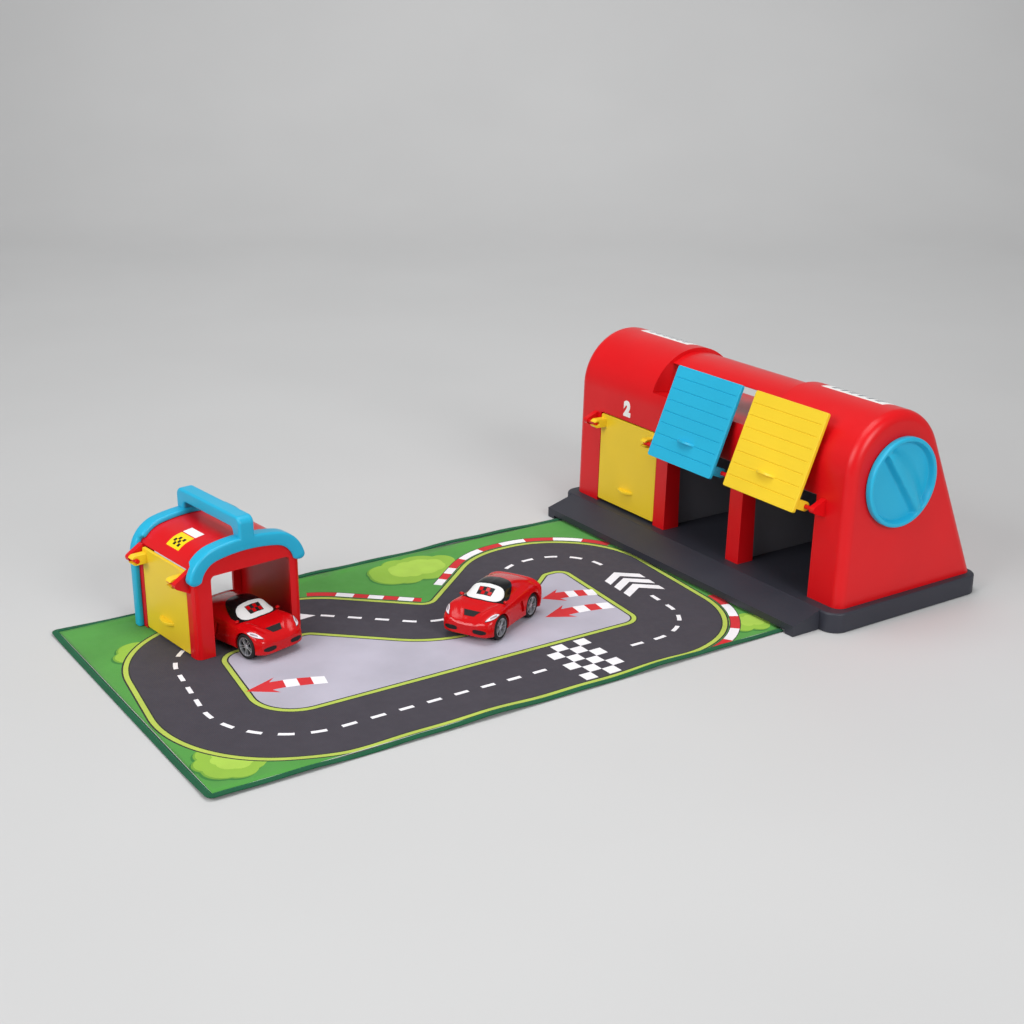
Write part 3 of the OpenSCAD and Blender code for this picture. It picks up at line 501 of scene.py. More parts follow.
def fabric(name, colour, mottle=0.07, thread=2600, patch=45):
    """Printed cloth: a plain weave, faint mottling of the ink and a soft sheen."""
    material, nodes, links, shader = node_tree(name)
    ink = noise(nodes, links, patch, 6)
    links.new(ramp(nodes, links, ink, shade(colour, 1 - mottle), shade(colour, 1 + mottle)),
              shader.inputs["Base Color"])
    coords = nodes.new("ShaderNodeTexCoord")
    weave = nodes.new("ShaderNodeMath")
    weave.operation = "MAXIMUM"
    for index, direction in enumerate(("X", "Y")):
        wave = nodes.new("ShaderNodeTexWave")
        wave.bands_direction = direction
        wave.inputs["Scale"].default_value = thread / 12
        wave.inputs["Distortion"].default_value = 0.6
        links.new(coords.outputs["Object"], wave.inputs["Vector"])
        links.new(wave.outputs["Fac"], weave.inputs[index])
    bump(nodes, links, weave.outputs["Value"], shader, 0.0002, 0.3)
    links.new(ramp(nodes, links, noise(nodes, links, 120, 3), grey(0.72), grey(0.9)),
              shader.inputs["Roughness"])
    shader.inputs["Sheen Weight"].default_value = 0.08
    shader.inputs["Sheen Roughness"].default_value = 0.5
    shader.inputs["Specular IOR Level"].default_value = 0.2
    return material


red_plastic = plastic("red plastic", RED, 0.31)
yellow_plastic = plastic("yellow plastic", YELLOW, 0.34)
blue_plastic = plastic("blue plastic", BLUE, 0.31)
slate_plastic = plastic("slate plastic", SLATE, 0.46, 0.00008)
liner_plastic = plastic("liner plastic", LINER, 0.5, 0.00006)
white_plastic = plastic("white plastic", WHITE, 0.35)
black_gloss = plastic("black gloss", BLACK, 0.16)
black_matte = plastic("black matte", BLACK, 0.5)
car_paint = plastic("car paint", srgb(196, 10, 16), 0.16)
silver_paint = plastic("silver paint", srgb(196, 198, 203), 0.31)
silver_paint.node_tree.nodes["Principled BSDF"].inputs["Metallic"].default_value = 0.7
lamp_plastic = plastic("lamp lens", srgb(216, 204, 212), 0.12, 0.00008, 0.16)
lamp_core_plastic = plastic("lamp reflector", srgb(142, 130, 138), 0.2, 0.00008, 0.3)
lamp_red = plastic("tail lamp red", srgb(120, 6, 12), 0.1)
rubber = plastic("rubber", srgb(26, 26, 27), 0.62, 0.00006)
steel = metal("bright steel", (0.62, 0.62, 0.64, 1), 0.3)
label_white = plastic("label white", srgb(240, 240, 238), 0.4)
label_grey = plastic("label grey", srgb(120, 124, 132), 0.4)
label_yellow = plastic("label yellow", srgb(250, 214, 20), 0.36)
label_black = plastic("label black", srgb(22, 22, 22), 0.36)


# Station

def tangent_normal(foot_y, side):
    """Angle of the outward normal of a wall from a foot to the roof's arch."""
    away = (ROOF_Y - foot_y, ROOF_Z - BASE_H)
    return math.degrees(math.atan2(away[1], away[0])) + side * (
        math.degrees(math.asin(ROOF_R / math.hypot(*away))) + 90)


FRONT_NORMAL = tangent_normal(SHELL_FRONT, 1)
BACK_NORMAL = tangent_normal(SHELL_BACK, -1)
WALL_LEAN = 180 - FRONT_NORMAL


def wall_y(normal, inset, z):
    a = math.radians(normal)
    return ROOF_Y + (ROOF_R - inset - (z - ROOF_Z) * math.sin(a)) / math.cos(a)


HINGE_Y = wall_y(FRONT_NORMAL, 0, HINGE_Z) - HINGE_OUT
OPEN_W = DOOR_W + 2 * DOOR_GAP
OPEN_TOP = HINGE_Z + DOOR_TOP + DOOR_GAP + 0.4
PILLAR_W = DOOR_PITCH - OPEN_W


def at_base(obj):
    return move(obj, shift(0, BASE_FRONT, 0))


def shell_outline(inset, low):
    roof = arc((ROOF_Y, ROOF_Z), ROOF_R - inset, BACK_NORMAL, FRONT_NORMAL, 44)
    return ([(wall_y(BACK_NORMAL, inset, low), low)] + roof + [(wall_y(FRONT_NORMAL, inset, low), low)])


def filleted(name, outline, half, wall, fillet, steps=7):
    """A solid along x whose outline draws in towards both ends, on a round fillet."""
    r = fillet - wall
    rings = []
    for side in (-1, 1):
        for i in range(steps + 1):
            a = math.radians(90 * (i if side > 0 else steps - i) / steps)
            x = side * (half - wall - r + r * math.sin(a))
            rings.append([(x, y, z) for y, z in outline(wall + r * (1 - math.cos(a)))])
    return loft(name, rings)


def hand_room(grow):
    front_y = wall_y(FRONT_NORMAL, 0, POCKET_FRONT_Z)
    back_y = wall_y(BACK_NORMAL, 0, POCKET_BACK_Z)
    slope = (POCKET_BACK_Z - POCKET_FRONT_Z) / (back_y - front_y)
    y0 = SHELL_FRONT - 20
    y1 = SHELL_BACK
    top = ROOF_Z + ROOF_R + 10
    outline = [(y0, POCKET_FRONT_Z + slope * (y0 - front_y) - grow), (y0, top), (y1, top),
               (y1, POCKET_FRONT_Z + slope * (y1 - front_y) - grow)]
    half = HANDLE_LEN / 2 + grow
    return prism("hand room", outline, "x", -half, half)


def handle_bar():
    """The carry handle: a lens between the lowered roof line and a shallow underside."""
    top_r = ROOF_R - HANDLE_INSET
    under_z = ROOF_Z + top_r - HANDLE_T + HANDLE_UNDER_R
    rise = under_z - ROOF_Z
    along = (rise ** 2 + top_r ** 2 - HANDLE_UNDER_R ** 2) / (2 * rise)
    reach = math.sqrt(top_r ** 2 - along ** 2)
    top_a = math.degrees(math.atan2(along, reach))
    under_a = math.degrees(math.atan2(rise - along, reach))
    outline = (arc((ROOF_Y, ROOF_Z), top_r, top_a, 180 - top_a, 24)
               + arc((ROOF_Y, under_z), HANDLE_UNDER_R, 180 + under_a, 360 - under_a, 16)[1:-1])
    half = HANDLE_LEN / 2 + SHELL_WALL - 0.4
    return prism("handle", outline, "x", -half, half)


def hinge_lug(face_y, hinge_y, hinge_z, up, down, x):
    """A lug on a wall that rounds over the pin's end."""
    r = PIN_R + 1.4
    reach = face_y - hinge_y
    top_a = math.degrees(math.atan2(up, reach) + math.acos(r / math.hypot(reach, up)))
    low_a = math.degrees(math.atan2(down, reach) + math.acos(r / math.hypot(reach, down)))
    outline = [(face_y, hinge_z - down), (face_y, hinge_z + up)]
    outline += arc((hinge_y, hinge_z), r, top_a, 360 - low_a, 14)
    return prism("lug", outline, "x", x - LUG_T / 2, x + LUG_T / 2)


def build_shell():
    shell = filleted("station_shell_skin", lambda inset: shell_outline(inset, BASE_H),
                     SHELL_LEN / 2, 0, END_FILLET)
    cavity = filleted("cavity", lambda inset: shell_outline(inset, BASE_H - 1),
                      SHELL_LEN / 2, SHELL_WALL, END_FILLET)
    cut(cavity, hand_room(SHELL_WALL))
    cut(shell, cavity)
    bays = [block("bay", (i * DOOR_PITCH - OPEN_W / 2, -5, BASE_H - 1),
                  (i * DOOR_PITCH + OPEN_W / 2, SHELL_FRONT + 22, OPEN_TOP)) for i in (-1, 0, 1)]
    cut(shell, hand_room(0), *bays)
    jamb_y = wall_y(FRONT_NORMAL, 0, OPEN_TOP) + SHELL_WALL / 2
    foot_y = wall_y(FRONT_NORMAL, 0, BASE_H) + SHELL_WALL / 2
    profile = [(foot_y, BASE_H), (jamb_y, OPEN_TOP + 2), (jamb_y + JAMB_D, OPEN_TOP + 2),
               (jamb_y + JAMB_D, BASE_H)]
    posts = []
    for i in (-0.5, 0.5):
        x = i * DOOR_PITCH
        posts.append(prism("pillar", profile, "x", x - PILLAR_W / 2 + 0.01, x + PILLAR_W / 2 - 0.01))
    for side in (-1, 1):
        x = side * (DOOR_PITCH + OPEN_W / 2 + 2)
        posts.append(prism("jamb", profile, "x", x - 2 + 0.01, x + 2))
    add(shell, handle_bar(), *posts)
    lugs = []
    face_y = wall_y(FRONT_NORMAL, 0, HINGE_Z) + SHELL_WALL / 2
    pin_in = LUG_T / 2 + 13
    for i in (-1.5, -0.5, 0.5, 1.5):
        x = i * DOOR_PITCH
        lug = hinge_lug(face_y, HINGE_Y, HINGE_Z, LUG_RISE, LUG_RISE, x)
        low = x - (pin_in if i > -1 else 0)
        high = x + (pin_in if i < 1 else 0)
        lugs.append(add(lug, rod("pin", PIN_R, (HINGE_Y, HINGE_Z), low, high)))
    add(shell, *lugs)
    cut(shell, rod("knob hole", SPIGOT_R + 0.6, (WINDER_Y, WINDER_Z), SHELL_LEN / 2 - 6, SHELL_LEN / 2 + 3))
    bosses = []
    for side in (-1, 1):
        seat_x = side * (SHELL_LEN / 2 - 8)
        boss = rod("boss", BUSH_SEAT_R, (WINDER_Y, WINDER_Z), seat_x - 5.2, seat_x + 5.2, 36)
        bore_x = side * (SHELL_LEN / 2 - 9)
        bosses.append(cut(boss, rod("bore", BUSH_BORE_R, (WINDER_Y, WINDER_Z), bore_x - 6, bore_x + 6, 36)))
    add(shell, *bosses)
    at_base(soften(shell, 1.0, 3))
    finish_piece(shell, red_plastic, "station", "red_plastic", "station_shell")


def finger_lip(y, z, towards):
    """A crescent to pull a door by, on a face at y."""
    r = ((LIP_W / 2) ** 2 + LIP_REACH ** 2) / (2 * LIP_REACH)
    half = math.degrees(math.asin(LIP_W / 2 / r))
    moon = arc((0, y + towards * (LIP_REACH - r)), r, towards * 90 - half, towards * 90 + half, 18)
    root = [(moon[-1][0], y - towards * 0.6), (moon[0][0], y - towards * 0.6)]
    return prism("lip", moon + root, "z", z - LIP_T / 2, z + LIP_T / 2)


def hinge_hook(x, out):
    """A clip on a hinge pin, with its mouth towards -Y and a web to the door."""
    outer = PIN_R + 2.6
    bore = PIN_R + 0.1
    inner_a = math.degrees(math.asin(HOOK_MOUTH / bore))
    outer_a = math.degrees(math.asin(HOOK_MOUTH / outer))
    outline = (arc((0, 0), outer, 180 - outer_a, 90, 8) + [(out + 0.5, outer), (out + 0.5, -outer)]
               + arc((0, 0), outer, 270, 180 + outer_a, 8)
               + arc((0, 0), bore, 180 + inner_a, 540 - inner_a, 20))
    return prism("hook", outline, "x", x - HOOK_HALF, x + HOOK_HALF)


def flip_door(name, width, height, thick, top, out, lip_low, lip_high):
    """A door that hangs from its hinge axis, with its outer face towards -Y."""
    edge = round_rect(-width / 2, top - height, width / 2, top, DOOR_CORNER_R)
    plate = soften(prism(name, edge, "y", out, out + thick), 0.5, 2)
    grooves = []
    groove_half = width / 2 - GROOVE_INSET
    for i in range(1, PLANK_GROOVES + 1):
        z = top - height * i / (PLANK_GROOVES + 1)
        outline = [(out + thick - GROOVE_D, z), (out + thick + 0.3, z - GROOVE_HALF),
                   (out + thick + 0.3, z + GROOVE_HALF)]
        grooves.append(prism("groove", outline, "x", -groove_half, groove_half))
    cut(plate, *grooves)
    hooks = [soften(hinge_hook(s * (width / 2 - 0.8 - HOOK_HALF), out), 0.4, 2) for s in (-1, 1)]
    lips = [soften(finger_lip(y, -drop, towards), 0.7, 3)
            for y, drop, towards in ((out, lip_low, -1), (out + thick, lip_high, 1))]
    add(plate, *hooks, *lips)
    return soften(plate, 0)


def build_doors():
    left = flip_door("left_door_panel", DOOR_W, DOOR_H, DOOR_T, DOOR_TOP, HINGE_OUT, OUTER_LIP_DROP,
                     INNER_LIP_DROP)
    middle, right = (linked(name, left.data.copy()) for name in ("middle_door_panel", "right_door_panel"))
    opened = -(180 + DOOR_LEAN)
    for obj, i, angle, material, slot in ((left, -1, -WALL_LEAN, yellow_plastic, "yellow_plastic"),
                                          (middle, 0, opened, blue_plastic, "blue_plastic"),
                                          (right, 1, opened, yellow_plastic, "yellow_plastic")):
        move(obj, shift(i * DOOR_PITCH, HINGE_Y + BASE_FRONT, HINGE_Z) @ turn(angle, "X"))
        body = obj.name.replace("_panel", "")
        finish_piece(obj, material, body, slot, body)


def knob_height(x, y):
    """Height of the knob's outer face: a grip across it, steep on one side and bulging on the other."""
    def ease(t):
        t = min(max(t, 0), 1)
        return t * t * (3 - 2 * t)
    inner = KNOB_R - KNOB_RIM_W + 0.6
    off_rim = inner - math.hypot(x, y)
    flank = GRIP_BACK + GRIP_BULGE * (1 - (y / inner) ** 2) if x > 0 else GRIP_FACE - GRIP_FACE_SPREAD * y
    scoop = ease((abs(x) - GRIP_CREST) / flank) * ease(off_rim / 3)
    grip = GRIP_RISE * ease(1.2 - abs(x) / flank) * ease(off_rim / 9)
    return KNOB_RIM_H + grip - (KNOB_RIM_H - KNOB_SCOOP_FLOOR) * scoop


def build_knob():
    """The dished winding knob, modelled along z and laid along the winding axis."""
    rim = KNOB_RIM_H
    inner = KNOB_R - KNOB_RIM_W
    edge = [(0.01, -SPIGOT_LEN), (SPIGOT_R, -SPIGOT_LEN), (SPIGOT_R, 0), (KNOB_R - 0.8, 0), (KNOB_R, 0.8),
            (KNOB_R, rim - 1.7), (KNOB_R - 0.5, rim - 0.5), (KNOB_R - 1.7, rim)]
    radii = np.concatenate([np.linspace(inner + 0.6, inner - 5, 16), np.linspace(inner - 5, 0.01, 34)[1:]])
    steps = 180
    rings = []
    for i in range(steps):
        a = 2 * math.pi * i / steps
        ring = [(r * math.cos(a), r * math.sin(a), h) for r, h in edge]
        for r in radii:
            x, y = r * math.cos(a), r * math.sin(a)
            ring.append((x, y, knob_height(x, y)))
        rings.append(ring)
    knob = soften(loft("winder_knob_skin", rings, closed=True), 0)
    upright = turn(90, "Z") @ turn(90, "X")
    place = shift(SHELL_LEN / 2 + 0.3, WINDER_Y + BASE_FRONT, WINDER_Z) @ turn(GRIP_ANGLE, "X")
    move(knob, place @ upright)
    finish_piece(knob, blue_plastic, "winder", "blue_plastic", "winder_knob")


def base_ring(shrink, z):
    """The base's rounded outline, drawn in by a distance, at a height."""
    r = BASE_CORNER_R - shrink
    outline = round_rect(-BASE_LEN / 2 + shrink, shrink, BASE_LEN / 2 - shrink, BASE_DEPTH - shrink, r, 8)
    return [(x, y, z) for x, y in outline]


def build_base():
    edge = ((3, BASE_H - 3), (3, FLOOR_GAP), (0.6, FLOOR_GAP), (0, 0.6), (0, BASE_H - 2.2),
            (0.3, BASE_H - 1.1), (1.1, BASE_H - 0.3), (2.2, BASE_H))
    base = loft("base_deck_skin", [base_ring(shrink, z) for shrink, z in edge])
    cut(base, block("slot", (-RAMP_CHEEK_X, -1, -1), (RAMP_CHEEK_X, 4, 9)),
        block("deck slot", (-RAMP_CHEEK_X, DECK_SLOT[0], BASE_H - 5),
              (RAMP_CHEEK_X, DECK_SLOT[1], BASE_H + 1)))
    at_base(soften(base, 0))
    finish_piece(base, slate_plastic, "station", "slate_plastic", "base_deck")


def build_ramp():
    slope = math.atan2(BASE_H - RAMP_LIP_H, RAMP_REACH)
    drop = RAMP_T / math.cos(slope)
    lip = 2.5
    plate = [(0, BASE_H), (-RAMP_REACH, RAMP_LIP_H), (-RAMP_REACH, RAMP_SLOT_H),
             (-RAMP_REACH + lip, RAMP_SLOT_H), (-RAMP_REACH + lip, RAMP_LIP_H - drop + 1), (0, BASE_H - drop)]
    cheek = [(0, BASE_H), (-RAMP_REACH, RAMP_LIP_H), (-RAMP_REACH, FLOOR_GAP), (0, FLOOR_GAP)]
    board = prism("ramp_skin", plate, "x", -RAMP_CHEEK_X - 1, RAMP_CHEEK_X + 1)
    for side in (-1, 1):
        low, high = sorted((side * RAMP_CHEEK_X, side * RAMP_LEN / 2))
        add(board, prism("cheek", cheek, "x", low, high))
    at_base(soften(board, 0.7, 2))
    finish_piece(board, slate_plastic, "station", "slate_plastic", "ramp")


# Mat

ROAD_HALF = 38
LINE_OUT = 43.5
OUTLINE_OUT = 45
KERB_IN = 46.5
KERB_OUT = 55
KERB_BLOCK = 15
KERB_EDGE = 0.8
DASH = 13
CHECK_LEN = 12
CHECK_INSET = 1.5
CHECKS_AT = (126, -238)
CHEVRONS_AT = (27, -74)
LANE_ARROW_AT = (-92, -400)
# How far round the garage and each car the mat lies flat
GARAGE_CALM_R = 105
CAR_CALM_R = 85
# First and last place of each row of kerb blocks, in the road's own direction
KERBS = [((172, -112), (78, -28)), ((-82, -34), (-66, -218)), ((-54, -272), (-131, -350))]
# Place, width, length, lobes and turn of each bush
BUSHES = [(-87, -528, 62, 54, 6, 0.3), (130, -545, 64, 56, 7, 0.1), (-134, -232, 66, 100, 8, 0.4),
          (147, -42, 40, 46, 5, 0.2)]
# Tip, tail and bend of each direction sign
SIGNS = [((28, -486), (44, -420), 4), ((36, -192), (46, -124), 4), ((-2, -170), (12, -118), 3)]
# Corners of the road's middle line and the radius of each bend
ROAD_CORNERS = [((131, -85), 58), ((-93, -66), 52), ((-93, -148), 52), ((8, -266), 54), ((-92, -374), 54),
                ((-92, -512), 62), ((126, -540), 80)]


def rounded_path(corners, step):
    """Evenly spaced points along a closed path of lines and arcs, and its length."""
    points = []
    count = len(corners)
    for i in range(count):
        corner, r = np.array(corners[i][0], float), corners[i][1]
        back = np.array(corners[i - 1][0], float) - corner
        ahead = np.array(corners[(i + 1) % count][0], float) - corner
        back /= np.linalg.norm(back)
        ahead /= np.linalg.norm(ahead)
        half = math.acos(np.clip(back @ ahead, -1, 1)) / 2
        centre = corner + (back + ahead) / np.linalg.norm(back + ahead) * r / math.sin(half)
        start = corner + back * r / math.tan(half)
        end = corner + ahead * r / math.tan(half)
        a0 = math.atan2(*(start - centre)[::-1])
        sweep = math.atan2(*(end - centre)[::-1]) - a0
        sweep = (sweep + math.pi) % (2 * math.pi) - math.pi
        steps = max(4, int(abs(sweep) * r / step))
        for k in range(steps + 1):
            a = a0 + sweep * k / steps
            points.append(centre + r * np.array([math.cos(a), math.sin(a)]))
    return resample(np.array(points), step)


def resample(points, step):
    """Evenly spaced points along a closed path, and its length."""
    loop = np.vstack([points, points[:1]])
    lengths = np.concatenate([[0], np.cumsum(np.linalg.norm(np.diff(loop, axis=0), axis=1))])
    count = int(lengths[-1] / step)
    places = np.arange(count) * lengths[-1] / count
    return np.column_stack([np.interp(places, lengths, loop[:, i]) for i in range(2)]), lengths[-1]


ROAD, ROAD_LENGTH = rounded_path(ROAD_CORNERS, 3)
ROAD_AHEAD = np.roll(ROAD, -1, axis=0) - np.roll(ROAD, 1, axis=0)
ROAD_AHEAD /= np.linalg.norm(ROAD_AHEAD, axis=1)[:, None]
# The path runs anticlockwise, so its right side is outside the loop
ROAD_SIDE = np.column_stack([ROAD_AHEAD[:, 1], -ROAD_AHEAD[:, 0]])


def road_point(along, out):
    """A place along the road, in millimetres from its start, and outwards from its middle line."""
    f = along % ROAD_LENGTH / ROAD_LENGTH * len(ROAD)
    i = int(f) % len(ROAD)
    k = (i + 1) % len(ROAD)
    t = f - int(f)
    side = ROAD_SIDE[i] * (1 - t) + ROAD_SIDE[k] * t
    return ROAD[i] * (1 - t) + ROAD[k] * t + side * out


def road_place(point):
    """How far along the road the place nearest to a point lies."""
    return float(np.argmin(np.linalg.norm(ROAD - np.array(point), axis=1))) / len(ROAD) * ROAD_LENGTH


def road_loop(out):
    return [tuple(p) for p in ROAD + ROAD_SIDE * out]


def road_patch(start, end, inner, outer, skew=0, step=4):
    """A patch of the road between two places along it and two distances from its middle."""
    count = max(1, int(abs(end - start) / step))
    places = np.linspace(start, end, count + 1)
    return ([tuple(road_point(s, inner)) for s in places]
            + [tuple(road_point(s + skew, outer)) for s in places[::-1]])


def disc(x, y, r, steps=22):
    return arc((x, y), r, 0, 360 - 360 / steps, steps - 1)


def bush(x, y, width, length, lobes, phase):
    """A bush seen from above: a cluster of round lobes over its own shadow."""
    def cluster(dx, dy, size):
        discs = [disc(x + dx, y + dy, 0.17 * (width + length) * size)]
        for i in range(lobes):
            a = 2 * math.pi * (i + phase) / lobes
            r = (0.118 + 0.03 * math.sin(2.4 * i + phase)) * (width + length) * size
            discs.append(disc(x + dx + (width / 2 * size - r) * math.cos(a),
                              y + dy + (length / 2 * size - r) * math.sin(a), r))
        return discs
    layers = (("grass shadow", 2.5, -4, 1), ("bush edge", 0.8, -1.6, 1), ("bush", 0, 0, 0.98),
              ("bush light", -2, 3.5, 0.62))
    return [(d, ink) for ink, dx, dy, size in layers for d in cluster(dx, dy, size)]


def sign_bands(tip, tail, bend):
    """A direction sign: a broad head at its tip, then a striped and slightly bent tail."""
    tip, tail = np.array(tip, float), np.array(tail, float)
    length = np.linalg.norm(tail - tip)
    along = (tail - tip) / length
    across = np.array([-along[1], along[0]])

    def place(a, b):
        sag = bend * math.sin(math.pi * a / length)
        return tuple(tip + along * a + across * (b + sag))

    head = 0.4 * length
    barb = 0.8 * head
    bands = 4
    shapes = []
    for i in range(bands):
        a0, a1 = (barb + (length - barb) * k / bands for k in (i, i + 1))
        band = [place(a0, -7.5), place(a1, -7), place(a1, 7), place(a0, 7.5)]
        shapes.append((band, "white" if i % 2 else "red"))
    arrow = [place(0, 0), place(head, -15), place(barb, -7.5), place(barb, 7.5), place(head, 15)]
    shapes.append((arrow, "red"))
    return shapes


def road_bands():
    """The road's ink, its lime edge lines and their dark outlines, from the bottom layer up."""
    layers = ((OUTLINE_OUT, "ink"), (LINE_OUT, "lime"), (ROAD_HALF + 1.3, "ink"), (ROAD_HALF, "road"),
              (-ROAD_HALF, "ink"), (-ROAD_HALF - 1.3, "lime"), (-LINE_OUT, "ink"), (-OUTLINE_OUT, "infield"))
    return [(road_loop(out), ink) for out, ink in layers]


def kerbs():
    """Red and white kerb blocks outside three bends."""
    shapes = []
    for first, last in KERBS:
        start = road_place(first)
        end = road_place(last)
        if end < start:
            end += ROAD_LENGTH
        count = max(2, round((end - start) / KERB_BLOCK))
        for i in range(count):
            a, b = (start + (end - start) * k / count for k in (i, i + 1))
            shapes.append((road_patch(a, b, KERB_IN - KERB_EDGE, KERB_OUT + KERB_EDGE), "ink"))
            shapes.append((road_patch(a, b, KERB_IN, KERB_OUT), "white" if i % 2 else "red"))
    return shapes


def road_marks():
    """Lane dashes, a chequered line, chevrons and a lane arrow."""
    checks, chevrons, lane_arrow = (road_place(p) for p in (CHECKS_AT, CHEVRONS_AT, LANE_ARROW_AT))
    taken = ((checks - 4, checks + 52), (chevrons - 18, chevrons + 54), (lane_arrow - 36, lane_arrow + 4))
    shapes = []
    count = round(ROAD_LENGTH / (2 * DASH))
    for i in range(count):
        s = ROAD_LENGTH * i / count
        if not any(low < s < high for low, high in taken):
            shapes.append((road_patch(s, s + DASH, -2, 2), "white"))
    rows, lanes = 4, 6
    lane = 2 * (ROAD_HALF - CHECK_INSET) / lanes
    for i in range(rows):
        a, b = checks + CHECK_LEN * i, checks + CHECK_LEN * (i + 1)
        for j in range(lanes):
            if (i + j) % 2:
                out = -ROAD_HALF + CHECK_INSET + lane * j
                shapes.append((road_patch(a, b, out, out + lane), "white"))
    for i in range(3):
        s = chevrons + 17 * i
        for side in (-1, 1):
            shapes.append((road_patch(s, s + 11, 0, side * 20, -15), "white"))
    shapes.append((road_patch(lane_arrow - 16, lane_arrow, -2.4, 2.4), "white"))
    head = [tuple(road_point(lane_arrow - back, out)) for back, out in ((16, -9), (34, 0), (16, 9))]
    shapes.append((head, "white"))
    return shapes


def print_shapes():
    """The mat's print, from the bottom layer up: outlines and the ink of each."""
    shapes = []
    for place in BUSHES:
        shapes.extend(bush(*place))
    shapes.extend(road_bands())
    shapes.extend(kerbs())
    shapes.extend(road_marks())
    for tip, tail, bend in SIGNS:
        shapes.extend(sign_bands(tip, tail, bend))
    return shapes


INKS = {
    "grass": srgb(80, 150, 66), "grass shadow": srgb(54, 122, 52), "bush edge": srgb(112, 160, 52),
    "bush": srgb(146, 188, 64), "bush light": srgb(168, 204, 78), "ink": srgb(42, 46, 42),
    "lime": srgb(178, 196, 82), "road": srgb(62, 58, 67), "infield": srgb(180, 176, 190),
    "white": srgb(240, 238, 242), "red": srgb(206, 40, 46),
}


def inside(outline, x, y):
    """Whether places lie inside an outline, by counting crossings."""
    points = np.array(outline)
    after = np.roll(points, -1, axis=0)
    hits = np.zeros(len(x), int)
    for (x0, y0), (x1, y1) in zip(points, after):
        if y0 == y1:
            continue
        spans = (y0 > y) != (y1 > y)
        hits += spans & (x < (x1 - x0) * (y - y0) / (y1 - y0) + x0)
    return hits % 2 == 1


def mat_lift(x, y):
    """Height of the mat's slow ripples above the floor, which fade near what stands on it."""
    edge = np.clip((np.abs(x) - 95) / 80, 0, 1) ** 2
    ripple = 1.1 + np.sin(y / 31 + 0.8 * np.sin(x / 60)) * 0.8 + 0.5 * np.sin(y / 13 + 2)
    lift = edge * np.maximum(ripple, 0)
    standing = [(GARAGE_X, GARAGE_Y, GARAGE_CALM_R)]
    standing += [(cx, cy, CAR_CALM_R) for cx, cy, _ in CARS.values()]
    for cx, cy, reach in standing:
        away = np.hypot(x - cx, y - cy)
        lift = lift * np.clip((away - reach) / 50, 0, 1)
    return lift * np.clip((-y - RAMP_REACH - 2) / 70, 0, 1)


def lift_at(x, y):
    return float(mat_lift(np.array([x]), np.array([y]))[0])


def build_mat():
    x0, x1 = mat_low[0], mat_high[0]
    y0, y1 = mat_low[1] - BASE_FRONT, mat_high[1] - BASE_FRONT
    top = mat_high[2]
    shapes = print_shapes()
    border = [(x0, y0), (x1, y0), (x1, y1), (x0, y1)]
    verts = []
    edges = []
    for outline in [border] + [outline for outline, _ in shapes]:
        first = len(verts)
        verts.extend(Vector((min(max(p[0], x0), x1), min(max(p[1], y0), y1))) for p in outline)
        edges.extend((first + i, first + (i + 1) % len(outline)) for i in range(len(outline)))
    cell = 9
    for x in np.arange(x0 + cell / 2, x1, cell):
        verts.extend(Vector((x, y)) for y in np.arange(y0 + cell / 2, y1, cell))
    sheet_verts, _, triangles, *_ = geometry.delaunay_2d_cdt(verts, edges, [], 0, 0.02)
    flat = np.array([tuple(v) for v in sheet_verts])
    tris = np.array([tuple(t) for t in triangles if len(t) == 3])
    middle = flat[tris].mean(axis=1)
    kept = ((middle[:, 0] > x0) & (middle[:, 0] < x1) & (middle[:, 1] > y0) & (middle[:, 1] < y1))
    tris = tris[kept]
    middle = middle[kept]
    names = list(INKS)
    ink = np.zeros(len(tris), int)
    for outline, name in shapes:
        ink[inside(outline, middle[:, 0], middle[:, 1])] = names.index(name)
    lift = mat_lift(flat[:, 0], flat[:, 1])
    count = len(flat)
    upper = [(x, y + BASE_FRONT, top + h) for (x, y), h in zip(flat, lift)]
    lower = [(x, y + BASE_FRONT, FLOOR_GAP + h) for (x, y), h in zip(flat, lift)]
    faces = [tuple(t) for t in tris] + [tuple(t[::-1] + count) for t in tris]
    sides = {}
    for t in tris:
        for a, b in ((t[0], t[1]), (t[1], t[2]), (t[2], t[0])):
            if (b, a) in sides:
                del sides[(b, a)]
            else:
                sides[(a, b)] = True
    faces += [(a, a + count, b + count, b) for a, b in sides]
    mesh = bpy.data.meshes.new("play_mat_sheet")
    mesh.from_pydata([tuple(c * MM for c in v) for v in upper + lower], [], faces)
    mat = linked("play_mat_sheet", mesh)
    for name, colour in INKS.items():
        mottle, patch = (0.13, 11) if name in ("grass", "infield", "bush") else (0.07, 45)
        mesh.materials.append(fabric("print " + name, colour, mottle, patch=patch))
    mesh.materials.append(fabric("mat back", srgb(214, 216, 210)))
    index = np.full(len(faces), len(INKS))
    index[:len(tris)] = ink
    mesh.polygons.foreach_set("material_index", index.astype(np.int32))
    mesh.shade_smooth()
    finish_piece(mat, None, "station", "mat_fabric", "play_mat")
    return mat, (x1 - x0) * MM, (y1 - y0) * MM


